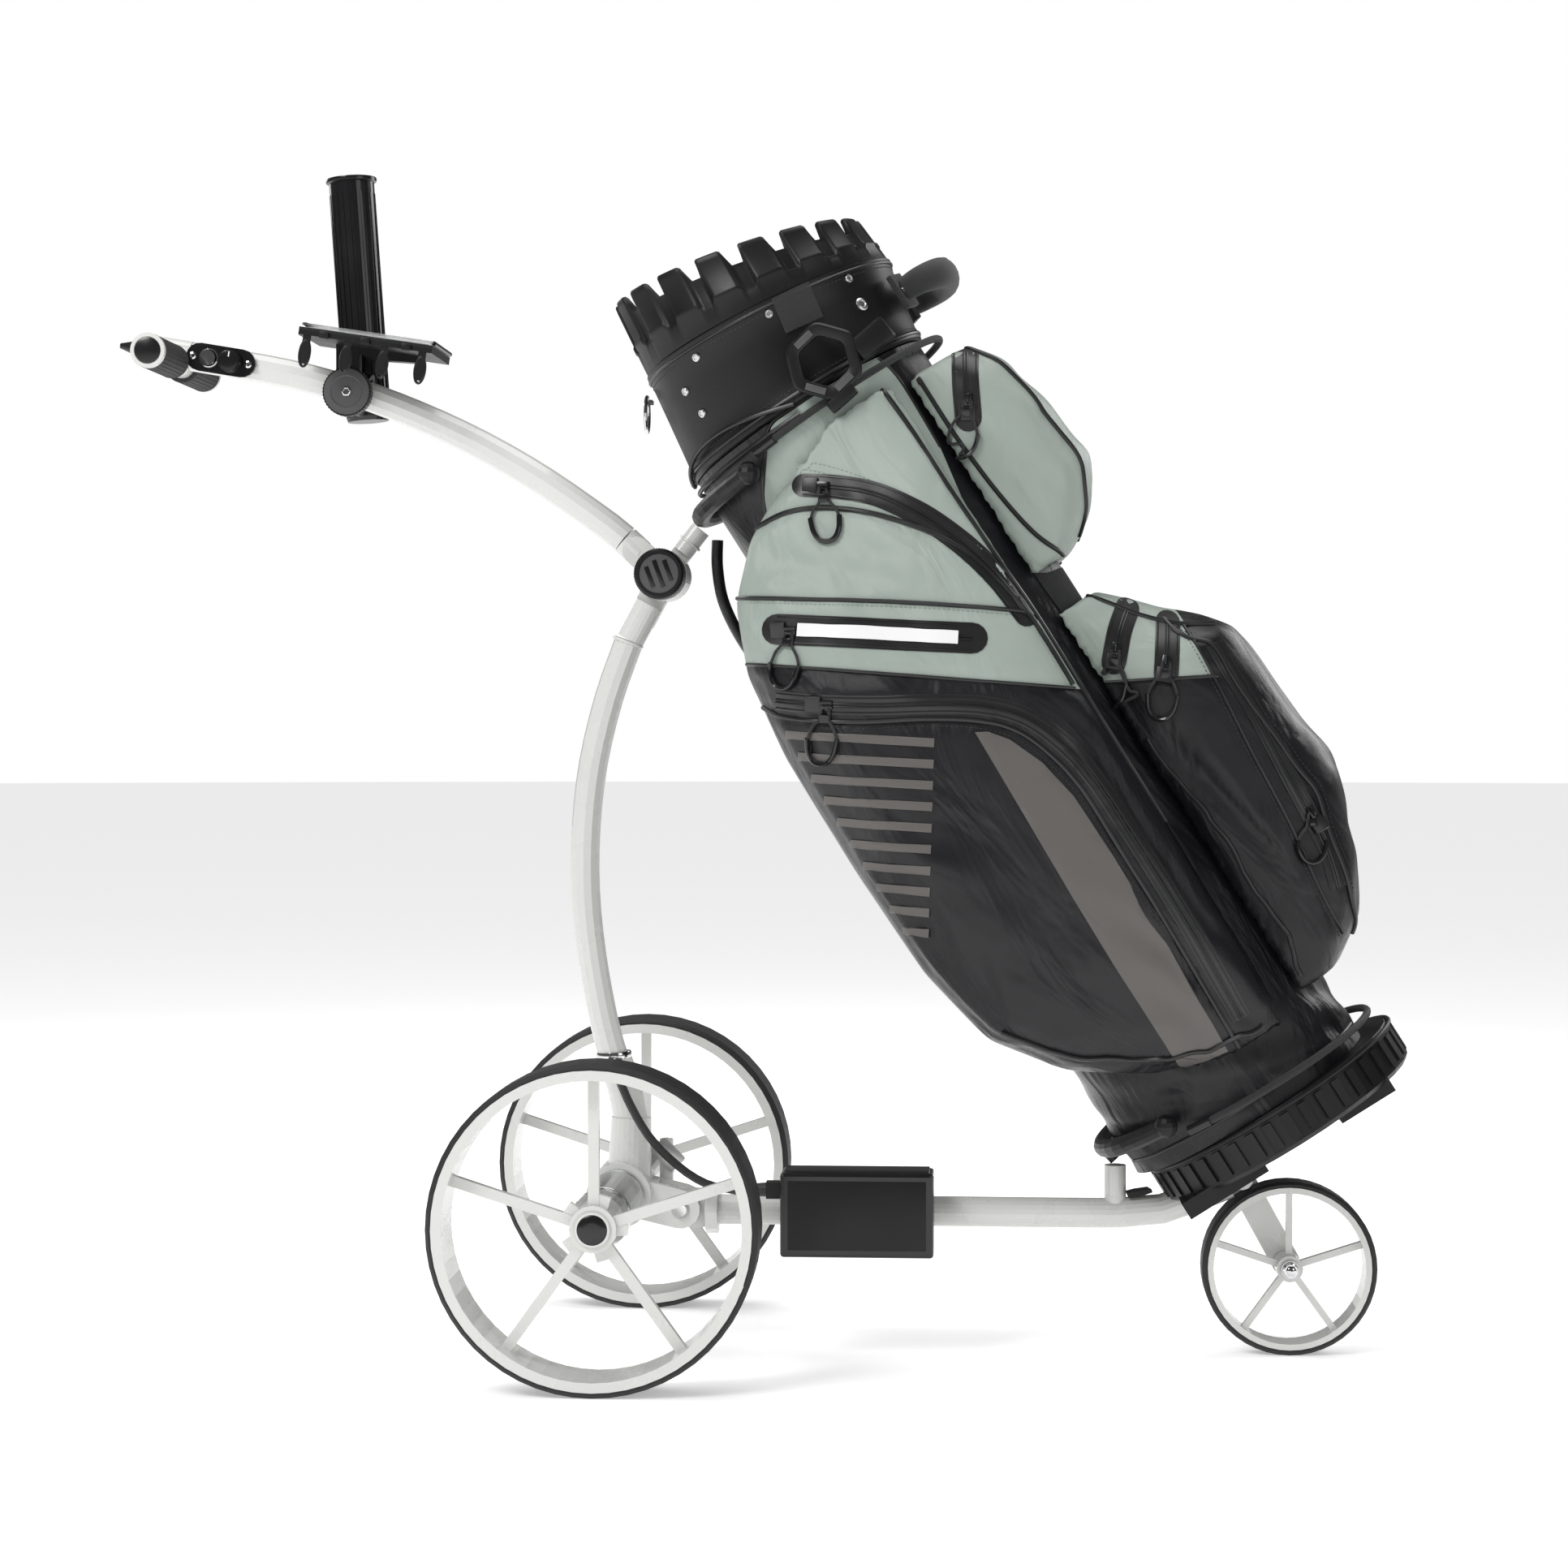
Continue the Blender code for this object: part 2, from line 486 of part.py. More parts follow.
def accessories():
    """Clamp on the handle tube with the umbrella tube and the scorecard tray."""
    tilt = atan2(-(0.8680 - 0.9070), -0.3177 + 0.4380)
    place = Matrix.Translation((CLAMP_X, 0, CLAMP_Z)) @ Matrix.Rotation(tilt, 4, "Y")
    band = [(0.0158, -0.014), (0.0205, -0.014), (0.0205, 0.014), (0.0158, 0.014)]
    clamp = object_from("accessory_clamp", shape_of(add_turned, band, steps=32), LOOKS["black"],
                        place @ Matrix.Rotation(-pi / 2, 4, "Z"))
    disc = guide("clamp_disc", add_rod, (CLAMP_X, -0.0195, CLAMP_Z - 0.003),
                 (CLAMP_X, -0.0310, CLAMP_Z - 0.003), 0.0223, sides=32)
    link = guide("clamp_link", add_box, (CLAMP_X - 0.010, -0.0290, CLAMP_Z),
                 (CLAMP_X + 0.012, -0.0185, 0.9345))
    arm = guide("clamp_arm", add_box, (CLAMP_X - 0.0080, 0.0180, CLAMP_Z - 0.012),
                (CLAMP_X + 0.0080, 0.0206, CLAMP_Z + 0.012))
    combine(clamp, "UNION", disc, link, arm)
    lean = Matrix.Translation((-0.3715, UMBRELLA_Y, 0.866)) @ Matrix.Rotation(-UMBRELLA_LEAN, 4, "Y")
    profile = [(0, 0), (0.019, 0), (UMBRELLA_R - 0.001, 0.004), (UMBRELLA_R, 0.225),
               (UMBRELLA_R + 0.0022, 0.2265), (UMBRELLA_R + 0.0022, 0.2295), (0.0180, 0.2295),
               (0.0180, 0.006), (0, 0.006)]
    upright = Matrix.Rotation(pi / 2, 4, "X")
    object_from("umbrella_tube", shape_of(add_turned, profile, steps=32, closed=False),
                LOOKS["black"], lean @ upright)

    slab = tray_matrix()
    y_low, y_high = TRAY_Y
    tray = object_from("scorecard_tray", shape_of(
        add_box, (0, y_low, -0.0100), (0.1235, y_high, -0.0030)), LOOKS["black"], slab)
    bracket = guide("tray_bracket", add_prism,
                    [(0.030, -0.0098), (0.105, -0.0098), (0.102, -0.0160), (0.062, -0.0190)],
                    -0.0290, -0.0150, place=slab)
    loops = bmesh.new()
    for x in (0.008, 0.046, 0.080, 0.115):
        add_box(loops, (x - 0.0035, y_low + 0.0005, -0.036), (x + 0.0035, y_low + 0.0030, -0.0095))
    combine(tray, "UNION", bracket, object_from("guide_tee_loops", loops, LOOKS["black"], slab))
    cut = guide("clamp_clearance", add_box, (CLAMP_X - 0.0103, -0.0293, 0.90),
                (CLAMP_X + 0.0123, -0.0182, 0.9348))
    combine(tray, "DIFFERENCE", cut)
    lid = bmesh.new()
    add_box(lid, (0.002, y_low + 0.001, -0.0009), (0.1230, y_high - 0.001, 0.0010))
    object_from("scorecard_lid", lid, LOOKS["clear"], slab)


# ---- bag ---------------------------------------------------------------------
def body_ring(level, inset, sides=BODY_SIDES, slope=0.0, centre=BODY_U, half=(BODY_A, BODY_B)):
    """Points around the bag's oval section at a level, which may slope along u."""
    points = []
    for i in range(sides):
        angle = 2 * pi * i / sides
        u = centre + (half[0] - inset) * cos(angle)
        points.append((u, (half[1] - inset) * sin(angle), level + slope * u))
    return points


def body_side(u):
    """Half width of the body's oval at u."""
    return BODY_B * sqrt(max(0.0, 1 - ((u - BODY_U) / BODY_A) ** 2))


def bag_shells():
    """The body as three sewn lengths of shell; the lowest one has the floor."""
    names = ("bag_body_lower", "bag_body_middle", "bag_body_upper")
    for name, low, high in zip(names, BODY_LEVELS, BODY_LEVELS[1:]):
        low, high = low + GAP, high - GAP
        shape = bmesh.new()
        if name == "bag_body_lower":
            add_loft(shape, [body_ring(low, 0), body_ring(high, 0), body_ring(high, BODY_WALL),
                             body_ring(low + 0.008, BODY_WALL)])
        else:
            add_loft(shape, [body_ring(low, 0), body_ring(high, 0), body_ring(high, BODY_WALL),
                             body_ring(low, BODY_WALL)], ring=True)
        object_from(name, shape, LOOKS["fabric"], BAG)


def bag_base():
    """Moulded cup with four foot blocks and a channel for the cart's tube."""
    wide = (0.129, 0.127)
    sections = [body_ring(0.0060, 0.004, half=wide), body_ring(0.0100, 0, half=wide),
                body_ring(0.0400, 0, half=wide), body_ring(0.0448, 0.003, half=wide)]
    base = object_from("bag_base", shape_of(add_loft, [[(u + 0.0195, y, w) for u, y, w in section]
                                                       for section in sections]),
                       LOOKS["black"], BAG)
    feet = bmesh.new()
    for u_low, u_high, y_low, y_high in ((-0.112, -0.030, 0.045, 0.092), (0.048, 0.104, 0.030, 0.085)):
        for side in (1, -1):
            low, high = sorted((side * y_low, side * y_high))
            add_box(feet, (u_low, low, -0.0040), (u_high, high, 0.0120))
    channel = guide("tube_channel", add_box, (-0.140, -0.0200, -0.02), (-0.030, 0.0200, 0.0240),
                    place=BAG)
    combine(base, "UNION", object_from("guide_feet", feet, LOOKS["black"], BAG))
    combine(base, "DIFFERENCE", channel)


def crown_height(i, steps):
    """Top of the crown's wall: teeth between sloping notches, on a slanting plane."""
    phase = (i * CROWN_TEETH / steps) % 1.0
    rise = min(1.0, max(0.0, abs(phase - 0.5) * 5 - 0.75))
    return CROWN_TOP - TOOTH_DEPTH * (1 - rise)


def collar_and_crown():
    low, high = [], []
    for ring, level, slope, centre in ((low, COLLAR_BOTTOM, 0.0, -0.011),
                                       (high, COLLAR_TOP, COLLAR_SLOPE, 0.004)):
        for inset in (0.0, 0.0045):
            ring.append(body_ring(level, inset, slope=slope, centre=centre, half=(0.1225, 0.1205)))
    object_from("bag_collar", shape_of(add_loft, [low[0], high[0], high[1], low[1]], ring=True),
                LOOKS["leather"], BAG)

    steps = CROWN_TEETH * 5
    bottom = [body_ring(COLLAR_TOP + 0.0006, 0, steps, COLLAR_SLOPE, 0.004, (0.1225, 0.1205)),
              body_ring(COLLAR_TOP + 0.0006, 0.012, steps, COLLAR_SLOPE, 0.004, (0.1225, 0.1205))]
    tops = []
    for inset in (0.0, 0.006):
        flat = body_ring(0, inset, steps, 0.0, 0.0065, (CROWN_R, CROWN_R))
        tops.append([(u, y, crown_height(i, steps) + CROWN_SLOPE * u)
                     for i, (u, y, w) in enumerate(flat)])
    object_from("organiser_crown", shape_of(add_loft, [bottom[0], tops[0], tops[1], bottom[1]],
                                            ring=True), LOOKS["black"], BAG)


def divider_grid():
    """Thirteen plates that part the mouth into fourteen club wells."""
    reach, thick, low, high = 0.1030, 0.0030, 0.835, 0.915
    lines = (-0.0535, 0.0, 0.0535)
    across, along = bmesh.new(), bmesh.new()
    for u in lines:
        half = sqrt(reach ** 2 - u ** 2)
        add_box(across, (u - thick / 2, -half, low), (u + thick / 2, half, high))
    outer = (-0.030, 0.030)
    edges = (-reach, *lines, reach)
    for row, (u_low, u_high) in enumerate(zip(edges, edges[1:])):
        lap = 0.0010 if row % 2 else -0.0001
        for y in (outer, lines, lines, outer)[row]:
            rim = sqrt(reach ** 2 - y ** 2)
            add_box(along, (max(u_low + 0.0005, -rim), y - thick / 2, low + lap),
                    (min(u_high - 0.0005, rim), y + thick / 2, high - lap))
    place = BAG @ Matrix.Translation((0.004, 0, 0))
    grid = object_from("divider_grid", across, LOOKS["black"], place)
    combine(grid, "UNION", object_from("guide_long_plates", along, LOOKS["black"], place))


def side_pocket(name, side):
    """Full-length side pocket: it hugs the body and bulges out behind it."""
    levels = ((0.102, -0.010, 0.050, 0.134), (0.125, -0.070, 0.054, 0.150),
              (0.170, -0.136, 0.056, 0.163), (0.230, -0.180, 0.058, 0.171),
              (0.310, -0.196, 0.060, 0.176), (0.420, -0.199, 0.062, 0.178),
              (0.540, -0.197, 0.063, 0.176), (0.620, -0.186, 0.063, 0.168),
              (0.680, -0.160, 0.063, 0.156), (0.722, -0.116, 0.063, 0.142),
              (0.746, -0.066, 0.063, 0.132), (0.772, -0.036, 0.063, 0.1262))
    sections = []
    for w, u_back, u_front, y_out in levels:
        section = [(u_front - 0.006, y_out - 0.010)]
        for share in (0.12, 0.35, 0.65, 0.88):
            u = u_front + (u_back - u_front) * share
            section.append((u, y_out - 0.012 * (2 * share - 1) ** 4))
        section.append((u_back, max(y_out - 0.022, body_side(u_back) + 0.006)))
        start = acos(max(-0.80, min(1.0, (u_back - BODY_U) / BODY_A)))
        if u_back < -0.112:
            section.append((u_back + 0.004, (BODY_B + 0.0025) * sin(start)))
        end = acos((u_front - BODY_U) / BODY_A)
        count = 9 if u_back < -0.112 else 10
        clear = 0.0025 if u_back < -0.150 else 0.0065
        for i in range(count):
            angle = start + (end - start) * i / (count - 1)
            section.append((BODY_U + (BODY_A + clear) * cos(angle), (BODY_B + clear) * sin(angle)))
        sections.append([(u, side * y, w) for u, y in section])
    object_from(name, shape_of(add_loft, sections), LOOKS["sage"], BAG)


def front_pocket(name, levels, start, look, corner=3.0):
    """Pocket on the bag's front; each level is (w, front u, half width)."""
    sections = []
    for w, u_front, half in levels:
        section = []
        for i in range(9):
            angle = POCKET_ROOT * (1 - i / 4)
            section.append((BODY_U + (BODY_A + 0.0025) * cos(angle), (BODY_B + 0.0025) * sin(angle)))
        for i in range(1, 12):
            y = -half * cos(pi * i / 12)
            bulge = (1 - abs(y / half) ** corner) ** (1 / corner)
            section.append((start + (u_front - start) * bulge, y))
        sections.append([(u, y, w) for u, y in section])
    object_from(name, shape_of(add_loft, sections), look, BAG)


def pockets():
    side_pocket("side_pocket_left", 1)
    side_pocket("side_pocket_right", -1)
    front_pocket("front_top_pocket", ((0.556, 0.122, 0.094), (0.580, 0.160, 0.100),
                                      (0.620, 0.186, 0.103), (0.690, 0.181, 0.103),
                                      (0.740, 0.171, 0.099), (0.770, 0.148, 0.090)), 0.080,
                 LOOKS["sage"])
    front_pocket("front_lower_pocket", ((0.112, 0.128, 0.086), (0.140, 0.170, 0.100),
                                        (0.185, 0.196, 0.106), (0.262, 0.224, 0.108),
                                        (0.360, 0.216, 0.107), (0.426, 0.214, 0.104),
                                        (0.470, 0.160, 0.098), (0.520, 0.122, 0.088)),
                 0.076, LOOKS["fabric"])


def bag_trim():
    """Hexagonal side grips, front carry loop, towel ring, shoulder strap and bungees."""
    for name, side in (("side_handle_left", 1), ("side_handle_right", -1)):
        y_low, y_high = sorted((side * 0.1285, side * 0.1385))
        loops = []
        for radius, y in ((0.0370, y_low), (0.0370, y_high), (0.0250, y_high), (0.0250, y_low)):
            loops.append([(0.024 + radius * cos(pi / 3 * i + 0.2), y,
                           0.8160 + radius * sin(pi / 3 * i + 0.2)) for i in range(6)])
        handle_ring = object_from(name, shape_of(add_loft, loops, ring=True), LOOKS["black"], BAG)
        y_low, y_high = sorted((side * 0.1225, side * 0.1365))
        combine(handle_ring, "UNION", guide(name + "_wedge", add_box, (0.0540, y_low, 0.795),
                                            (0.0880, y_high, 0.823), place=BAG))
    loop = smooth_path([(0.1215, -0.060, 0.8340), (0.1440, -0.060, 0.8340), (0.1610, -0.036, 0.8330),
                        (0.1640, 0.0, 0.8320), (0.1610, 0.036, 0.8330), (0.1440, 0.060, 0.8340),
                        (0.1215, 0.060, 0.8340)], 0.012)
    tube("carry_handle", loop, 0.0105, LOOKS["fabric"], BAG)
    strap = [(-0.1440, -0.046, 0.7420), (-0.1580, -0.046, 0.7200), (-0.1700, -0.046, 0.6900),
             (-0.1740, -0.046, 0.6500), (-0.1700, -0.046, 0.6100), (-0.1560, -0.046, 0.5800)]
    tube("shoulder_strap", smooth_path(strap, 0.018), 0.0075, LOOKS["fabric"], BAG)
    towel_ring()


def towel_ring():
    """Steel ring that hangs from a pin between two ears on the collar's back."""
    bar, radius = 0.0016, 0.0165
    circle = [(radius + bar * cos(pi / 4 * i), bar * sin(pi / 4 * i)) for i in range(8)]
    place = Matrix.Translation((RING_X, 0, RING_Z - radius)) @ Matrix.Rotation(pi / 2, 4, "Z")
    object_from("towel_ring", shape_of(add_turned, circle, steps=32), LOOKS["chrome"], place)
    mount = bmesh.new()
    pin_z = RING_Z - 2 * bar - 0.0008
    for y in (-0.0058, 0.0040):
        add_box(mount, (RING_X - 0.0020, y, pin_z - 0.0032),
                (RING_X + 0.0055, y + 0.0018, pin_z + 0.0008))
    ears = object_from("towel_ring_mount", mount, LOOKS["chrome"])
    combine(ears, "UNION", guide("ring_pin", add_rod, (RING_X, -0.0050, pin_z),
                                 (RING_X, 0.0050, pin_z), bar, sides=12))


def bungees():
    """Cords round the bag's front, from one cradle ball to the other."""
    for name, ball_w, front_w, half in (("upper_bungee", 0.7810, 0.7905, (0.1345, 0.1246)),
                                        ("lower_bungee", 0.0700, 0.0600, (0.1330, 0.1315))):
        route = []
        for i in range(21):
            angle = radians(118) * (i / 10 - 1)
            blend = 0.5 + 0.5 * cos(angle)
            route.append((BODY_U + 0.004 + half[0] * cos(angle), half[1] * sin(angle),
                          ball_w + (front_w - ball_w) * blend))
        tube(name, route, 0.0035, LOOKS["black"], BAG, resolution=2)


def main():
    for old in list(bpy.data.objects):
        bpy.data.objects.remove(old)
    for name, side in (("left", 1), ("right", -1)):
        rear_wheel(name, side)
    front_wheel()
    axle_casting()
    drive()
    main_tube()
    middle_joint()
    cradle("upper_cradle", UPPER_CRADLE_W, (JOINT_X + 0.0600 * cos(STUB_TILT), 0,
                                            JOINT_Z + 0.0600 * sin(STUB_TILT)))
    cradle("lower_cradle", LOWER_CRADLE_W, (0.332, 0, 0.1775))
    front_frame()
    battery()
    handle()
    grips()
    controls()
    accessories()
    bag_shells()
    bag_base()
    collar_and_crown()
    divider_grid()
    pockets()
    bag_trim()
    bungees()


LOOKS = {
    "paint": material("paint", (0.78, 0.79, 0.77), 0.35),
    "tyre": material("tyre", (0.02, 0.02, 0.02), 0.75),
    "rubber": material("rubber", (0.03, 0.03, 0.03), 0.80),
    "black": material("black", (0.02, 0.02, 0.022), 0.50),
    "chrome": material("chrome", (0.60, 0.60, 0.60), 0.15, 1.0),
    "silver": material("silver", (0.62, 0.63, 0.62), 0.35, 0.6),
    "clear": material("clear", (0.85, 0.87, 0.88), 0.10, 0.0, 0.35),
    "fabric": material("fabric", (0.014, 0.014, 0.017), 0.45),
    "leather": material("leather", (0.025, 0.025, 0.026), 0.50),
    "sage": material("sage", (0.37, 0.43, 0.38), 0.40),
}
main()
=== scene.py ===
"""Golf trolley with its cart bag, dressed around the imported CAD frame.

Lengths are in metres, X is the way the trolley rolls and Z is up. Pieces of the bag are drawn in
the bag's own frame (u forwards, y to the left, w up its axis) and are put in place at the end.
"""

import json
import logging
from collections.abc import Callable, Iterable, Sequence
from dataclasses import dataclass, field
from enum import Enum
from math import acos, atan2, ceil, cos, exp, hypot, pi, radians, sin

import bmesh
import bpy
import numpy as np
from bpy.types import NodeTree, Object
from mathutils import Matrix, Vector
from mathutils.bvhtree import BVHTree
from mathutils.geometry import delaunay_2d_cdt


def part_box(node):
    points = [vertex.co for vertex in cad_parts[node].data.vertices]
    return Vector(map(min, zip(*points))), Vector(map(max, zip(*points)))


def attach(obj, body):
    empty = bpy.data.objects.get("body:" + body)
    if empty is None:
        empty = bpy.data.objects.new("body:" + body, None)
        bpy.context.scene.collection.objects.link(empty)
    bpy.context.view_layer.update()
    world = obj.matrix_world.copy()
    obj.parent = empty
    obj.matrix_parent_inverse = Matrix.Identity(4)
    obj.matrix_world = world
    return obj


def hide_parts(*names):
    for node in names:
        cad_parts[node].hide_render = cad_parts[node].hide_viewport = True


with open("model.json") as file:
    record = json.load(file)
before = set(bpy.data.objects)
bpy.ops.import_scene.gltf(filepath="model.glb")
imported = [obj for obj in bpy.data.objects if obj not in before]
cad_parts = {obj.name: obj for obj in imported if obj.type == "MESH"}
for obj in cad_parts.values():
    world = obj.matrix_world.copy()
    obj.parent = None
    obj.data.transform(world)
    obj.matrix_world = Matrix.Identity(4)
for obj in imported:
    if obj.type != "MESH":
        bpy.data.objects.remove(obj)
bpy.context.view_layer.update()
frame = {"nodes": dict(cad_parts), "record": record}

LOG = logging.getLogger("trolley")
Point = Sequence[float]
Flat = tuple[float, float]

BAG_LEAN = radians(32.6)
BAG = Matrix.Translation((0.4883, 0, 0.2)) @ Matrix.Rotation(-BAG_LEAN, 4, "Y")
DOWN: Flat = (-sin(BAG_LEAN), -cos(BAG_LEAN))  # gravity in the bag's (u, w)
AXLE_X, AXLE_Z = -0.126, 0.144
FRONT_X, FRONT_Z = 0.491, 0.08


def mm(*rows: Point) -> tuple[Point, ...]:
    """Points drawn in millimetres, given back in metres."""
    return tuple(tuple(value / 1000 for value in row) for row in rows)


def link(made: Object) -> None:
    """Puts an object in the scene."""
    bpy.context.scene.collection.objects.link(made)


class Side(Enum):
    """The two sides of the trolley; the value is the sign of Y."""

    LEFT = 1
    RIGHT = -1

    @property
    def word(self) -> str:
        """The side's name in lower case."""
        return self.name.lower()


# ---------------------------------------------------------------- shader groups and finishes


class Group:
    """A shader node group being built: it has named inputs and outputs."""

    def __init__(self, name: str, inputs: dict[str, float | tuple], outputs: Iterable[str]) -> None:
        """Makes the group's tree.

        Args:
            name: the group's name.
            inputs: each input and its default, a number or a colour.
            outputs: each output; one whose name ends in Colour carries a colour.
        """
        self.tree = bpy.data.node_groups.new(name, "ShaderNodeTree")
        for key, value in inputs.items():
            kind = "NodeSocketColor" if isinstance(value, tuple) else "NodeSocketFloat"
            made = self.tree.interface.new_socket(key, in_out="INPUT", socket_type=kind)
            made.default_value = value
        for key in outputs:
            kind = "NodeSocketColor" if key.endswith("Colour") else "NodeSocketFloat"
            self.tree.interface.new_socket(key, in_out="OUTPUT", socket_type=kind)
        self.start = self.tree.nodes.new("NodeGroupInput")
        self.end = self.tree.nodes.new("NodeGroupOutput")

    def node(self, kind: str, links: dict[str, object] | None = None,
            **settings: object) -> bpy.types.Node:
        """Adds a node.

        Args:
            kind: its bl_idname.
            links: input name or index to an output socket or a constant.
            settings: attributes of the node.

        Returns:
            The node.
        """
        return add_node(self.tree, kind, links, **settings)


def add_node(tree: NodeTree, kind: str, links: dict | None = None,
        **settings: object) -> bpy.types.Node:
    """Adds a node to a tree, sets its attributes, and links or fills its inputs."""
    made = tree.nodes.new(kind)
    for key, value in settings.items():
        setattr(made, key, value)
    for key, value in (links or {}).items():
        socket = made.inputs[key]
        if isinstance(value, bpy.types.NodeSocket):
            tree.links.new(value, socket)
        else:
            socket.default_value = value
    return made


def grain_group() -> NodeTree:
    """Fine moulded or sprayed grain: a height, and a slow mask for colour and roughness."""
    group = Group("grain", {"Scale": 900.0, "Patch": 14.0}, ("Height", "Mask"))
    where = group.node("ShaderNodeTexCoord").outputs["Object"]
    fine = group.node("ShaderNodeTexNoise", {"Vector": where, "Scale": group.start.outputs["Scale"],
        "Detail": 3.0, "Roughness": 0.55})
    slow = group.node("ShaderNodeTexNoise", {"Vector": where, "Scale": group.start.outputs["Patch"],
        "Detail": 4.0, "Roughness": 0.6})
    group.tree.links.new(fine.outputs["Fac"], group.end.inputs["Height"])
    group.tree.links.new(slow.outputs["Fac"], group.end.inputs["Mask"])
    return group.tree


def weave_group() -> NodeTree:
    """Coated cloth: a fine crossed thread under soft creases."""
    group = Group("weave", {"Thread": 2600.0, "Crease": 26.0, "Stretch": 1.0},
        ("Height", "Crease", "Mask"))
    where = group.node("ShaderNodeTexCoord").outputs["Object"]
    lean = group.node("ShaderNodeMapping", {"Vector": where, "Rotation": (0.0, BAG_LEAN, 0.0)})
    threads = []
    for axis in ("X", "Z"):
        wave = group.node("ShaderNodeTexWave", {"Vector": lean.outputs[0],
            "Scale": group.start.outputs["Thread"], "Distortion": 1.5, "Detail": 1.0},
            wave_type="BANDS", bands_direction=axis)
        threads.append(wave.outputs["Fac"])
    crossed = group.node("ShaderNodeMath", {0: threads[0], 1: threads[1]}, operation="MULTIPLY")
    squeezed = group.node("ShaderNodeMapping", {"Vector": lean.outputs[0],
        "Rotation": (0.0, 0.6, 0.0), "Scale": (1.0, 1.0, 0.35)})
    crease = group.node("ShaderNodeTexNoise", {"Vector": squeezed.outputs[0],
        "Scale": group.start.outputs["Crease"], "Detail": 3.0, "Roughness": 0.5, "Distortion": 0.8})
    patch = group.node("ShaderNodeTexNoise", {"Vector": where, "Scale": 9.0, "Detail": 4.0})
    group.tree.links.new(crossed.outputs[0], group.end.inputs["Height"])
    group.tree.links.new(crease.outputs["Fac"], group.end.inputs["Crease"])
    group.tree.links.new(patch.outputs["Fac"], group.end.inputs["Mask"])
    return group.tree


def hide_group() -> NodeTree:
    """Pebbled leather: small cells, and a slow mask."""
    group = Group("pebble", {"Scale": 520.0}, ("Height", "Mask"))
    where = group.node("ShaderNodeTexCoord").outputs["Object"]
    cells = group.node("ShaderNodeTexVoronoi", {"Vector": where,
        "Scale": group.start.outputs["Scale"], "Randomness": 0.9}, feature="SMOOTH_F1")
    slow = group.node("ShaderNodeTexNoise", {"Vector": where, "Scale": 18.0, "Detail": 4.0})
    group.tree.links.new(cells.outputs["Distance"], group.end.inputs["Height"])
    group.tree.links.new(slow.outputs["Fac"], group.end.inputs["Mask"])
    return group.tree


def wear_group() -> NodeTree:
    """Dust and rubbing: lightens a colour a little where a surface faces up or noise says."""
    group = Group("wear", {"Base Colour": (0.5, 0.5, 0.5, 1.0),
        "Dust Colour": (0.42, 0.4, 0.37, 1.0), "Amount": 0.1, "Spread": 0.05, "Mask": 0.5},
        ("Base Colour",))
    begin = group.start.outputs
    upward = group.node("ShaderNodeSeparateXYZ", {0: group.node("ShaderNodeNewGeometry").outputs[
        "Normal"]}).outputs["Z"]
    lit = group.node("ShaderNodeMath", {0: upward, 1: begin["Amount"]}, operation="MULTIPLY",
        use_clamp=True)
    share = group.node("ShaderNodeMath", {0: lit.outputs[0], 1: begin["Mask"]},
        operation="MULTIPLY")
    spotted = group.node("ShaderNodeMath", {0: begin["Mask"], 1: begin["Spread"],
        2: share.outputs[0]}, operation="MULTIPLY_ADD", use_clamp=True)
    mixed = group.node("ShaderNodeMix", {"Factor": spotted.outputs[0]}, data_type="RGBA")
    group.tree.links.new(begin["Base Colour"], mixed.inputs["A"])
    group.tree.links.new(begin["Dust Colour"], mixed.inputs["B"])
    group.tree.links.new(mixed.outputs["Result"], group.end.inputs["Base Colour"])
    return group.tree


class GroupKit:
    """The shader groups, each built once and shared by the finishes."""

    made: dict[str, NodeTree] = {}
    makers: dict[str, Callable[[], NodeTree]] = {"grain": grain_group, "weave": weave_group,
        "pebble": hide_group, "wear": wear_group}

    @classmethod
    def get(cls, name: str) -> NodeTree:
        """The group of that name, built on first use."""
        if name not in cls.made:
            cls.made[name] = cls.makers[name]()
        return cls.made[name]


class Surface(Enum):
    """The groups that a finish can take its bump from."""

    GRAIN = "grain"
    WEAVE = "weave"
    PEBBLE = "pebble"


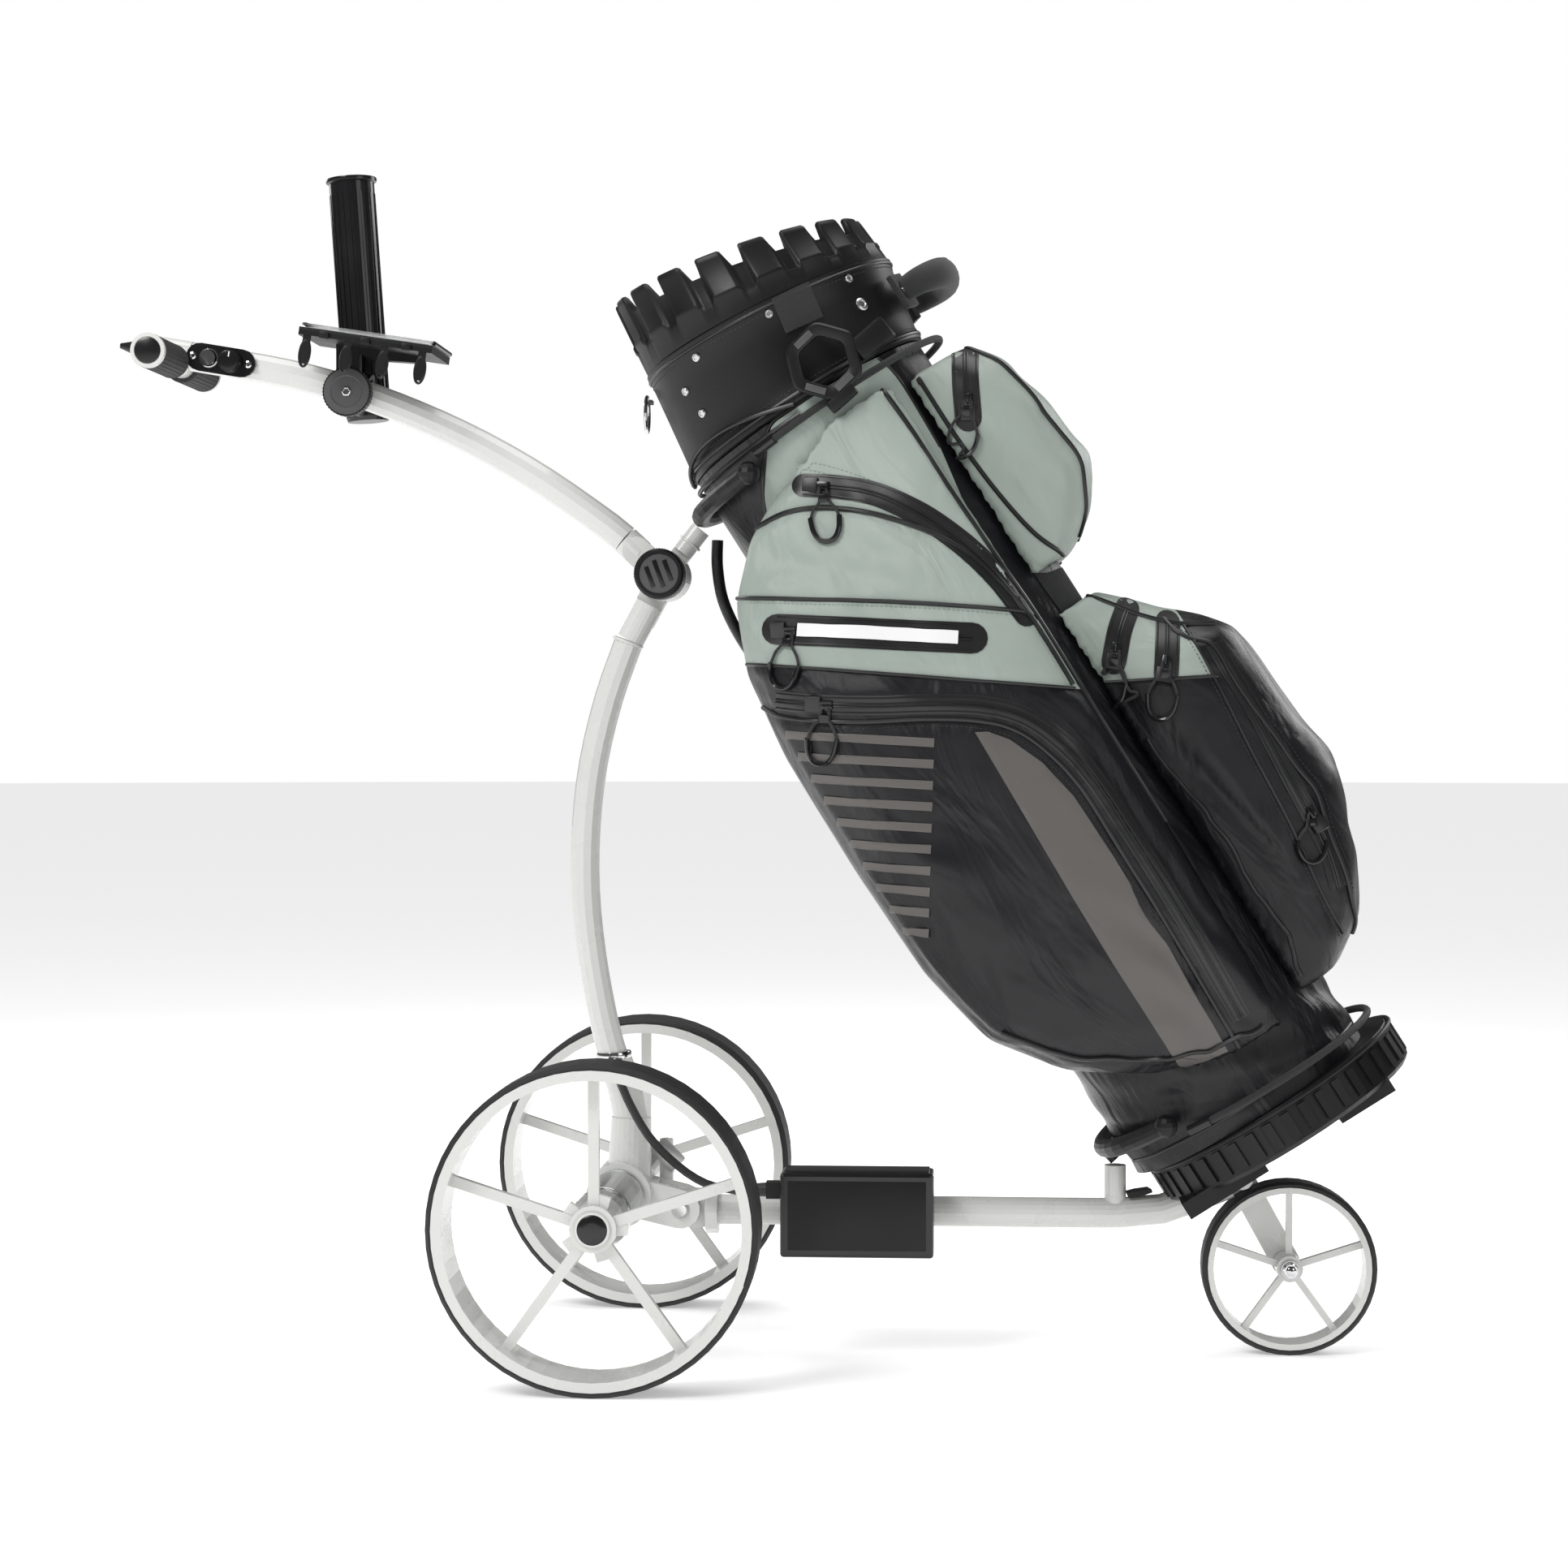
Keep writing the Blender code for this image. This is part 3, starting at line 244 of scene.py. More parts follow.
@dataclass(frozen=True)
class Finish:
    """One finish: colours, gloss and the grain of its surface.

    The numbers that hold all over the surface go straight on the shader's sockets.
    """

    name: str
    slot: str
    colour: tuple[float, float, float]
    shade: tuple[float, float, float]
    rough: tuple[float, float] = (0.35, 0.5)
    surface: Surface = Surface.GRAIN
    scale: float = 900.0
    patch: float = 14.0
    bump: float = 0.08
    depth: float = 0.0002
    crease: float = 0.0
    crease_scale: float = 26.0
    metallic: float = 0.0
    coat: float = 0.0
    coat_rough: float = 0.1
    sheen: float = 0.0
    specular: float = 0.5
    dust: float = 0.05
    transmission: float = 0.0
    alpha: float = 1.0
    glow: float = 0.0
    brushed: float = 0.0

    def material(self) -> bpy.types.Material:
        """The finish's material, built on first use."""
        found = bpy.data.materials.get(self.name)
        return found or self._build()

    def _build(self) -> bpy.types.Material:
        """Builds the nodes."""
        made = bpy.data.materials.new(self.name)
        made.use_nodes = True
        made.diffuse_color = (*self.colour, 1.0)
        tree = made.node_tree
        shader = tree.nodes["Principled BSDF"]
        group = add_node(tree, "ShaderNodeGroup", node_tree=GroupKit.get(self.surface.value))
        if self.surface is Surface.GRAIN:
            group.inputs["Scale"].default_value = self.scale
            group.inputs["Patch"].default_value = self.patch
        elif self.surface is Surface.WEAVE:
            group.inputs["Thread"].default_value = self.scale
            group.inputs["Crease"].default_value = self.crease_scale
        else:
            group.inputs["Scale"].default_value = self.scale
        colours = add_node(tree, "ShaderNodeMix", {"Factor": group.outputs["Mask"]},
            data_type="RGBA")
        colours.inputs["A"].default_value = (*self.shade, 1.0)
        colours.inputs["B"].default_value = (*self.colour, 1.0)
        worn = add_node(tree, "ShaderNodeGroup", {}, node_tree=GroupKit.get("wear"))
        tree.links.new(colours.outputs["Result"], worn.inputs["Base Colour"])
        tree.links.new(group.outputs["Mask"], worn.inputs["Mask"])
        worn.inputs["Amount"].default_value = self.dust
        worn.inputs["Spread"].default_value = self.dust * 0.4
        tree.links.new(worn.outputs["Base Colour"], shader.inputs["Base Color"])
        rough = add_node(tree, "ShaderNodeMapRange", {"Value": group.outputs["Mask"],
            "From Min": 0.3, "From Max": 0.7, "To Min": self.rough[0], "To Max": self.rough[1]})
        tree.links.new(rough.outputs["Result"], shader.inputs["Roughness"])
        normal = add_node(tree, "ShaderNodeBump", {"Height": group.outputs["Height"],
            "Strength": self.bump, "Distance": self.depth})
        if self.crease:
            wide = add_node(tree, "ShaderNodeBump", {"Height": group.outputs["Crease"],
                "Strength": self.crease, "Distance": 0.009})
            tree.links.new(wide.outputs["Normal"], normal.inputs["Normal"])
        if self.brushed:
            where = add_node(tree, "ShaderNodeTexCoord").outputs["Object"]
            drawn = add_node(tree, "ShaderNodeMapping", {"Vector": where,
                "Scale": (1.0, 0.02, 1.0)})
            lines = add_node(tree, "ShaderNodeTexNoise", {"Vector": drawn.outputs[0],
                "Scale": 1500.0, "Detail": 2.0})
            hair = add_node(tree, "ShaderNodeBump", {"Height": lines.outputs["Fac"],
                "Strength": self.brushed, "Distance": 0.0001})
            tree.links.new(hair.outputs["Normal"], normal.inputs["Normal"])
        tree.links.new(normal.outputs["Normal"], shader.inputs["Normal"])
        fixed = {"Metallic": self.metallic, "Coat Weight": self.coat,
            "Coat Roughness": self.coat_rough, "Sheen Weight": self.sheen,
            "Specular IOR Level": self.specular, "Transmission Weight": self.transmission,
            "Alpha": self.alpha}
        for key, value in fixed.items():
            shader.inputs[key].default_value = value
        if self.glow:
            shader.inputs["Emission Color"].default_value = (*self.colour, 1.0)
            shader.inputs["Emission Strength"].default_value = self.glow
        return made


WHITE_PAINT = Finish("white_powder_coat", "frame_paint", (0.64, 0.645, 0.625), (0.59, 0.595, 0.572),
    rough=(0.22, 0.32), bump=0.1, scale=420.0, depth=0.0002, coat=0.35, dust=0.01)
TYRE = Finish("tyre_rubber_black", "tyre_rubber", (0.02, 0.02, 0.021), (0.012, 0.012, 0.013),
    rough=(0.55, 0.72), bump=0.35, scale=1400.0, dust=0.01)
RUBBER = Finish("soft_rubber", "cable_rubber", (0.018, 0.018, 0.019), (0.011, 0.011, 0.012),
    rough=(0.42, 0.55), bump=0.2, scale=1600.0)
FOAM = Finish("grip_foam_black", "grip_foam", (0.03, 0.03, 0.031), (0.018, 0.018, 0.019),
    rough=(0.65, 0.8), bump=0.5, scale=2200.0, depth=0.0003, dust=0.01)
CHROME = Finish("polished_chrome", "chrome", (0.72, 0.72, 0.73), (0.6, 0.6, 0.61),
    rough=(0.06, 0.14), metallic=1.0, bump=0.03, scale=600.0, dust=0.01)
SATIN = Finish("satin_aluminium", "motor_silver", (0.66, 0.67, 0.66), (0.55, 0.56, 0.55),
    rough=(0.28, 0.38), metallic=1.0, bump=0.05, scale=1600.0, brushed=0.35, dust=0.01)
PLASTIC = Finish("moulded_black_plastic", "black_plastic", (0.009, 0.009, 0.01),
    (0.005, 0.005, 0.006), rough=(0.34, 0.48), bump=0.22, scale=1300.0, specular=0.32, dust=0.0)
SMOOTH_PLASTIC = Finish("smooth_black_plastic", "black_plastic", (0.01, 0.01, 0.011),
    (0.006, 0.006, 0.007), rough=(0.16, 0.26), bump=0.06, scale=900.0, dust=0.01)
GREY_PLASTIC = Finish("grey_insert_plastic", "black_plastic", (0.075, 0.075, 0.078),
    (0.055, 0.055, 0.058), rough=(0.34, 0.45), bump=0.2, scale=1500.0)
CLEAR = Finish("clear_lid_plastic", "clear_plastic", (0.93, 0.95, 0.96), (0.9, 0.92, 0.93),
    rough=(0.04, 0.09), transmission=0.9, alpha=0.55, bump=0.02, dust=0.0)
CARD = Finish("card_white", "clear_plastic", (0.8, 0.8, 0.78), (0.74, 0.74, 0.72), rough=(0.6, 0.7),
    bump=0.1, scale=1200.0, dust=0.0)
LEATHER = Finish("collar_leather_black", "collar_leather", (0.009, 0.009, 0.01),
    (0.005, 0.005, 0.006), rough=(0.34, 0.46), surface=Surface.PEBBLE, scale=560.0, bump=0.28,
    depth=0.0003, specular=0.32, dust=0.0)
BLACK_CLOTH = Finish("black_coated_cloth", "black_fabric", (0.0095, 0.0095, 0.0115),
    (0.0055, 0.0055, 0.007), rough=(0.24, 0.38), surface=Surface.WEAVE, scale=2600.0, bump=0.2,
    depth=0.0002, crease=0.9, crease_scale=20.0, specular=0.38, dust=0.0)
BLACK_WEB = Finish("black_webbing", "black_fabric", (0.017, 0.017, 0.019), (0.01, 0.01, 0.011),
    rough=(0.6, 0.75), surface=Surface.WEAVE, scale=900.0, bump=0.6, depth=0.0004, sheen=0.15,
    dust=0.01)
BLACK_MESH = Finish("black_gusset_mesh", "black_fabric", (0.02, 0.02, 0.022), (0.011, 0.011, 0.012),
    rough=(0.7, 0.85), surface=Surface.WEAVE, scale=500.0, bump=0.8, depth=0.0006, crease=0.3,
    dust=0.01)
SAGE_CLOTH = Finish("sage_coated_cloth", "sage_fabric", (0.318, 0.368, 0.33), (0.262, 0.308, 0.274),
    rough=(0.3, 0.42), surface=Surface.WEAVE, scale=2600.0, bump=0.22, depth=0.0002, crease=0.85,
    crease_scale=18.0, specular=0.5, dust=0.0)
ZIP_TAPE = Finish("rubberised_zip_tape", "black_fabric", (0.014, 0.014, 0.015), (0.01, 0.01, 0.011),
    rough=(0.3, 0.38), bump=0.12, scale=1700.0, dust=0.01)
PIPING = Finish("black_piping", "black_fabric", (0.012, 0.012, 0.013), (0.008, 0.008, 0.009),
    rough=(0.3, 0.42), bump=0.2, scale=1500.0, dust=0.01)
REFLECT = Finish("grey_reflective_print", "black_fabric", (0.105, 0.096, 0.09),
    (0.085, 0.079, 0.074), rough=(0.38, 0.48), surface=Surface.WEAVE, scale=2600.0, bump=0.15,
    dust=0.0)
WHITE_PRINT = Finish("white_strip_print", "black_fabric", (0.78, 0.78, 0.78), (0.72, 0.72, 0.72),
    rough=(0.4, 0.5), bump=0.1, scale=1200.0, dust=0.0)
THREAD_BLACK = Finish("black_thread", "black_fabric", (0.03, 0.03, 0.032), (0.02, 0.02, 0.022),
    rough=(0.5, 0.6), bump=0.4, scale=2600.0, dust=0.0)
THREAD_SAGE = Finish("sage_thread", "sage_fabric", (0.26, 0.31, 0.27), (0.2, 0.25, 0.21),
    rough=(0.5, 0.6), bump=0.4, scale=2600.0, dust=0.0)


# ---------------------------------------------------------------- meshes


def smooth_line(points: Sequence[Point], closed: bool = False, step: float = 0.004) -> list[Vector]:
    """Runs a smooth curve through points.

    Args:
        points: the points, of two or three numbers.
        closed: whether the curve comes back to its start.
        step: the distance between the points returned.

    Returns:
        Points along the curve.
    """
    given = [Vector(p) for p in points]
    count = len(given)
    line: list[Vector] = []
    spans = count if closed else count - 1
    for i in range(spans):
        if closed:
            a, b, c, d = (given[(i + k) % count] for k in (-1, 0, 1, 2))
        else:
            a, b = given[max(i - 1, 0)], given[i]
            c, d = given[i + 1], given[min(i + 2, count - 1)]
        steps = max(1, ceil((c - b).length / step))
        for k in range(steps):
            t = k / steps
            line.append(0.5 * (2 * b + (c - a) * t + (2 * a - 5 * b + 4 * c - d) * t ** 2 +
                (3 * b - a - 3 * c + d) * t ** 3))
    if not closed:
        line.append(given[-1])
    return line


def make_object(name: str, points: Sequence[Point], faces: Sequence[Sequence[int]], finish: Finish,
        place: Matrix | None = None, crease: float = 40.0) -> Object:
    """Makes a mesh object at the origin, with its faces outwards and its place in its mesh."""
    mesh = bpy.data.meshes.new(name)
    mesh.from_pydata([tuple(p) for p in points], [], [tuple(f) for f in faces])
    if place is not None:
        mesh.transform(place)
    work = bmesh.new()
    work.from_mesh(mesh)
    bmesh.ops.remove_doubles(work, verts=work.verts, dist=1e-6)
    bmesh.ops.recalc_face_normals(work, faces=work.faces)
    work.to_mesh(mesh)
    work.free()
    mesh.shade_smooth()
    mesh.set_sharp_from_angle(angle=radians(crease))
    mesh.materials.append(finish.material())
    made = bpy.data.objects.new(name, mesh)
    link(made)
    return made


def bake(made: Object) -> Object:
    """Turns an object's evaluated mesh into its own plain mesh and removes its modifiers."""
    bpy.context.view_layer.update()
    graph = bpy.context.evaluated_depsgraph_get()
    mesh = bpy.data.meshes.new_from_object(made.evaluated_get(graph))
    made.modifiers.clear()
    if made.type == "MESH":
        made.data = mesh
        return made
    name = made.name
    bpy.data.objects.remove(made)
    made = bpy.data.objects.new(name, mesh)
    link(made)
    return made


def join(name: str, parts: Sequence[Object]) -> Object:
    """Joins plain mesh objects into one of that name; each face keeps its material."""
    materials: list[bpy.types.Material] = []
    work = bmesh.new()
    for part in parts:
        start = len(work.faces)
        work.from_mesh(part.data)
        work.faces.ensure_lookup_table()
        own = list(part.data.materials)
        for face in work.faces[start:]:
            material = own[min(face.material_index, len(own) - 1)]
            if material not in materials:
                materials.append(material)
            face.material_index = materials.index(material)
    mesh = bpy.data.meshes.new(name)
    work.to_mesh(mesh)
    work.free()
    for material in materials:
        mesh.materials.append(material)
    mesh.set_sharp_from_angle(angle=radians(40))
    for part in parts:
        bpy.data.objects.remove(part)
    made = bpy.data.objects.new(name, mesh)
    link(made)
    return made


def swept(name: str, path: Sequence[Vector], radius: float | Callable[[float], float],
        finish: Finish, sides: int = 10, closed: bool = False, flat: float = 1.0,
        up: Vector | None = None, place: Matrix | None = None) -> Object:
    """Sweeps a round or flattened section along a path.

    Args:
        name: the object's name.
        path: points along the middle.
        radius: the radius, or a function of the share of the way along.
        finish: its finish.
        sides: the number of sides.
        closed: whether the path is a loop.
        flat: the section's height over its width.
        up: the direction the section's height points in; by default it is carried along.
        place: a matrix for the finished mesh.

    Returns:
        The object.
    """
    count = len(path)
    points: list[Vector] = []
    carried = up or Vector((0.0, 0.0, 1.0))
    for i, middle in enumerate(path):
        if closed:
            along = path[(i + 1) % count] - path[i - 1]
        else:
            along = path[min(i + 1, count - 1)] - path[max(i - 1, 0)]
        along.normalize()
        if abs(along.dot(carried)) > 0.98 and i == 0:
            carried = Vector((1.0, 0.0, 0.0))
        aside = along.cross(up or carried)
        aside.normalize()
        rise = aside.cross(along)
        carried = rise if up is None else up
        size = radius(i / (count - 1)) if callable(radius) else radius
        for k in range(sides):
            angle = 2 * pi * k / sides
            points.append(middle + aside * (size * cos(angle)) + rise * (size * flat * sin(angle)))
    faces: list[list[int]] = []
    rings = count if closed else count - 1
    for i in range(rings):
        a, b = i * sides, ((i + 1) % count) * sides
        faces += [[a + k, a + (k + 1) % sides, b + (k + 1) % sides, b + k] for k in range(sides)]
    if not closed:
        faces += [list(range(sides))[::-1], [(count - 1) * sides + k for k in range(sides)]]
    return make_object(name, points, faces, finish, place, crease=50.0)


def turned(name: str, profile: Sequence[Flat], finish: Finish, place: Matrix, sides: int = 48,
        closed: bool = False) -> Object:
    """Turns a (radius, height) profile about local Z; closed joins its end to its start."""
    points, faces = [], []
    count = len(profile)
    for radius, height in profile:
        points += [(radius * cos(2 * pi * k / sides), radius * sin(2 * pi * k / sides),
            height) for k in range(sides)]
    for i in range(count if closed else count - 1):
        a, b = i * sides, ((i + 1) % count) * sides
        faces += [[a + k, a + (k + 1) % sides, b + (k + 1) % sides, b + k] for k in range(sides)]
    if not closed:
        for ring, (radius, height) in ((0, profile[0]), (count - 1, profile[-1])):
            if radius > 1e-5:
                faces.append([ring * sides + k for k in range(sides)])
    return make_object(name, points, faces, finish, place, crease=35.0)


def block(name: str, size: Point, finish: Finish, place: Matrix, bevel: float = 0.0006,
        taper: float = 1.0) -> Object:
    """A block with rounded edges, centred on its place; taper narrows its local top."""
    x, y, z = (s / 2 for s in size)
    points = [(sx * x * (taper if sz > 0 else 1), sy * y * (taper if sz > 0 else 1),
        sz * z) for sz in (-1, 1) for sy in (-1, 1) for sx in (-1, 1)]
    faces = [(0, 1, 3, 2), (4, 5, 7, 6), (0, 1, 5, 4), (2, 3, 7, 6), (0, 2, 6, 4), (1, 3, 7, 5)]
    made = make_object(name, points, faces, finish, place)
    work = bmesh.new()
    work.from_mesh(made.data)
    bmesh.ops.bevel(work, geom=list(work.edges), offset=bevel, segments=2, affect="EDGES",
        profile=0.6)
    work.to_mesh(made.data)
    work.free()
    made.data.set_sharp_from_angle(angle=radians(50))
    return made


def axis_place(where: Point, axis: Point, turn: float = 0.0) -> Matrix:
    """A place whose local Z points along axis, with its origin at where."""
    spin = Vector(axis).to_track_quat("Z", "Y").to_matrix().to_4x4()
    return Matrix.Translation(where) @ spin @ Matrix.Rotation(turn, 4, "Z")


def surface_place(where: Vector, normal: Vector, along: Vector) -> Matrix:
    """A place on a surface: local Z is its normal and local X runs along it."""
    rise = normal.normalized()
    aside = rise.cross(along).normalized()
    forward = aside.cross(rise)
    spin = Matrix((forward, aside, rise)).transposed().to_4x4()
    return Matrix.Translation(where) @ spin


# ---------------------------------------------------------------- geometry nodes for what repeats


def node_tree(name: str, inputs: dict[str, float | int | None]) -> NodeTree:
    """A geometry node tree with geometry, a material and the given numbers as inputs."""
    tree = bpy.data.node_groups.new(name, "GeometryNodeTree")
    tree.interface.new_socket("Geometry", in_out="INPUT", socket_type="NodeSocketGeometry")
    for key, value in inputs.items():
        kind = "NodeSocketInt" if isinstance(value, int) else "NodeSocketFloat"
        tree.interface.new_socket(key, in_out="INPUT", socket_type=kind).default_value = value
    tree.interface.new_socket("Material", in_out="INPUT", socket_type="NodeSocketMaterial")
    tree.interface.new_socket("Geometry", in_out="OUTPUT", socket_type="NodeSocketGeometry")
    return tree


def close_tree(tree: NodeTree, start: bpy.types.Node, geometry: bpy.types.NodeSocket) -> None:
    """Ends a tree in Realize Instances and Set Material."""
    real = add_node(tree, "GeometryNodeRealizeInstances", {"Geometry": geometry})
    painted = add_node(tree, "GeometryNodeSetMaterial",
        {"Geometry": real.outputs["Geometry"], "Material": start.outputs["Material"]})
    end = add_node(tree, "NodeGroupOutput")
    tree.links.new(painted.outputs["Geometry"], end.inputs["Geometry"])


def run_tree() -> NodeTree:
    """Small capsules, end to end with gaps, along a line: stitches and cord twists."""
    tree = node_tree("stitch_run", {"Pitch": 0.004, "Length": 0.003, "Thickness": 0.0008})
    start = add_node(tree, "NodeGroupInput")
    line = add_node(tree, "GeometryNodeMeshToCurve", {"Mesh": start.outputs["Geometry"]})
    points = add_node(tree, "GeometryNodeCurveToPoints",
        {"Curve": line.outputs["Curve"], "Length": start.outputs["Pitch"]}, mode="LENGTH")
    capsule = add_node(tree, "GeometryNodeMeshUVSphere", {"Segments": 6, "Rings": 4, "Radius": 0.5})
    size = add_node(tree, "ShaderNodeCombineXYZ", {"X": start.outputs["Thickness"],
        "Y": start.outputs["Thickness"], "Z": start.outputs["Length"]})
    placed = add_node(tree, "GeometryNodeInstanceOnPoints",
        {"Points": points.outputs["Points"], "Instance": capsule.outputs["Mesh"],
        "Rotation": points.outputs["Rotation"], "Scale": size.outputs["Vector"]})
    smooth = add_node(tree, "GeometryNodeSetShadeSmooth", {"Geometry": placed.outputs["Instances"]})
    close_tree(tree, start, smooth.outputs["Geometry"])
    return tree


def ring_tree() -> NodeTree:
    """Equal blocks round the local Z axis: ribs, teeth, spokes' lugs and tread."""
    tree = node_tree("ring_of_ribs", {"Count": 24, "Radius": 0.02, "Deep": 0.001, "Wide": 0.001,
        "Tall": 0.01})
    start = add_node(tree, "NodeGroupInput")
    ring = add_node(tree, "GeometryNodeMeshCircle", {"Vertices": start.outputs["Count"],
        "Radius": start.outputs["Radius"]})
    points = add_node(tree, "GeometryNodeMeshToPoints", {"Mesh": ring.outputs["Mesh"]})
    spot = add_node(tree, "GeometryNodeInputPosition")
    size = add_node(tree, "ShaderNodeCombineXYZ", {"X": start.outputs["Deep"],
        "Y": start.outputs["Wide"], "Z": start.outputs["Tall"]})
    rib = add_node(tree, "GeometryNodeMeshCube", {"Size": size.outputs["Vector"]})
    turn = add_node(tree, "FunctionNodeAlignRotationToVector", {"Vector": spot.outputs["Position"]},
        axis="X", pivot_axis="Z")
    placed = add_node(tree, "GeometryNodeInstanceOnPoints",
        {"Points": points.outputs["Points"], "Instance": rib.outputs["Mesh"],
        "Rotation": turn.outputs["Rotation"]})
    close_tree(tree, start, placed.outputs["Instances"])
    return tree


def dot_tree() -> NodeTree:
    """Round dimples over a rolled sheet: Rows round the local Z axis and Columns along it."""
    tree = node_tree("grip_dots", {"Rows": 16, "Columns": 20, "Radius": 0.0155, "Length": 0.09,
        "Dot": 0.0012})
    start = add_node(tree, "NodeGroupInput")
    sheet = add_node(tree, "GeometryNodeMeshCylinder",
        {"Vertices": start.outputs["Rows"], "Side Segments": start.outputs["Columns"],
        "Radius": start.outputs["Radius"], "Depth": start.outputs["Length"]}, fill_type="NONE")
    points = add_node(tree, "GeometryNodeMeshToPoints", {"Mesh": sheet.outputs["Mesh"]})
    spot = add_node(tree, "GeometryNodeInputPosition")
    outward = add_node(tree, "ShaderNodeVectorMath", {0: spot.outputs["Position"],
        1: (1.0, 1.0, 0.0)}, operation="MULTIPLY")
    turn = add_node(tree, "FunctionNodeAlignRotationToVector",
        {"Vector": outward.outputs["Vector"]}, axis="Z")
    dot = add_node(tree, "GeometryNodeMeshUVSphere", {"Segments": 8, "Rings": 4,
        "Radius": start.outputs["Dot"]})
    placed = add_node(tree, "GeometryNodeInstanceOnPoints",
        {"Points": points.outputs["Points"], "Instance": dot.outputs["Mesh"],
        "Rotation": turn.outputs["Rotation"], "Scale": (1.0, 1.0, 0.45)})
    smooth = add_node(tree, "GeometryNodeSetShadeSmooth", {"Geometry": placed.outputs["Instances"]})
    close_tree(tree, start, smooth.outputs["Geometry"])
    return tree


class Repeat:
    """Geometry node trees, each built once, run on a small host mesh and turned to plain meshes."""

    trees: dict[str, NodeTree] = {}
    makers: dict[str, Callable[[], NodeTree]] = {"run": run_tree, "ring": ring_tree,
        "dots": dot_tree}

    @classmethod
    def make(cls, kind: str, name: str, finish: Finish, place: Matrix | None = None,
            line: Sequence[Vector] | None = None, **values: float) -> Object:
        """Runs a tree.

        Args:
            kind: which tree.
            name: the object's name.
            finish: its finish.
            place: a matrix for the finished mesh.
            line: the host's points, joined by edges, for a tree that follows a line.
            values: the tree's inputs by name.

        Returns:
            The plain mesh object.
        """
        if kind not in cls.trees:
            cls.trees[kind] = cls.makers[kind]()
        tree = cls.trees[kind]
        spots = [tuple(p) for p in (line or [(0.0, 0.0, 0.0)])]
        host = bpy.data.meshes.new(name)
        host.from_pydata(spots, [(i, i + 1) for i in range(len(spots) - 1)], [])
        made = bpy.data.objects.new(name, host)
        link(made)
        modifier = made.modifiers.new("repeat", "NODES")
        modifier.node_group = tree
        sockets = {s.name: s.identifier for s in tree.interface.items_tree if s.in_out == "INPUT"}
        for key, value in values.items():
            modifier[sockets[key]] = value
        modifier[sockets["Material"]] = finish.material()
        bake(made)
        if place is not None:
            made.data.transform(place)
        return made


def settle(made: Object, body: str, replaces: Sequence[str] = ()) -> Object:
    """Hands a finished piece to the frame: what it rides on and what it stands for."""
    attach(made, body)
    if replaces:
        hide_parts(*replaces)
    LOG.info("%s rides on %s, %d faces", made.name, body, len(made.data.polygons))
    return made


# ---------------------------------------------------------------- cloth surfaces of the bag


def loft(name: str, rings: Sequence[Sequence[Point]], finish: Finish, ring: bool = False,
        place: Matrix | None = BAG) -> Object:
    """Skins closed rings; ring joins the last to the first, otherwise both ends are capped."""
    count = len(rings[0])
    points = [p for one in rings for p in one]
    faces = []
    for i in range(len(rings) if ring else len(rings) - 1):
        a, b = i * count, ((i + 1) % len(rings)) * count
        faces += [[a + k, a + (k + 1) % count, b + (k + 1) % count, b + k] for k in range(count)]
    if not ring:
        faces += [list(range(count)), [(len(rings) - 1) * count + k for k in range(count)]]
    return make_object(name, points, faces, finish, place, crease=45.0)


def oval(level: float, half: Flat, centre: float, slope: float = 0.0, sides: int = 96,
        wave: Callable[[float], float] | None = None) -> list[Point]:
    """Points round an oval at a level that may slope along u; wave pushes them outwards."""
    points = []
    for i in range(sides):
        angle = 2 * pi * i / sides
        push = wave(angle) if wave else 0.0
        u = centre + (half[0] + push) * cos(angle)
        points.append((u, (half[1] + push) * sin(angle), level + slope * u))
    return points


class Lay(Enum):
    """How a flat drawing is laid on a surface: from the left, from the right or from the front."""

    LEFT = 1
    RIGHT = -1
    FRONT = 0

    def ray(self, a: float, w: float) -> tuple[Vector, Vector]:
        """The start and direction of the ray that carries the drawing's point (a, w)."""
        if self is Lay.FRONT:
            return Vector((0.5, a, w)), Vector((-1.0, 0.0, 0.0))
        return Vector((a, self.value * 0.5, w)), Vector((0.0, -float(self.value), 0.0))


def grid_inside(outline: Sequence[Flat], step: float) -> list[Flat]:
    """Points of a square grid inside an outline, at least half a step from its edge."""
    us = [p[0] for p in outline]
    ws = [p[1] for p in outline]
    found = []
    rows = int((max(ws) - min(ws)) / step) + 1
    columns = int((max(us) - min(us)) / step) + 1
    edge = np.array(outline)
    following = np.roll(edge, -1, axis=0)
    for i in range(rows):
        for k in range(columns):
            u, w = min(us) + (k + 0.5) * step, min(ws) + (i + 0.5) * step
            crossed = ((edge[:, 1] > w) != (following[:, 1] > w))
            with np.errstate(divide="ignore", invalid="ignore"):
                at = edge[:, 0] + (w - edge[:, 1]) * (following[:, 0] - edge[:, 0]) / (
                    following[:, 1] - edge[:, 1])
            inside = int((crossed & (u < at)).sum()) % 2
            near = np.hypot(edge[:, 0] - u, edge[:, 1] - w).min()
            if inside and near > step * 0.45:
                found.append((u, w))
    return found


def longest_run(line: Sequence[Vector], gap: float) -> list[Vector]:
    """The longest stretch of a laid line with no jump over the gap, where it ran off the cloth."""
    best: list[Vector] = []
    run: list[Vector] = []
    for i, p in enumerate(line):
        if run and (p - line[i - 1]).length > gap:
            run = []
        run.append(p)
        if len(run) > len(best):
            best = list(run)
    return best


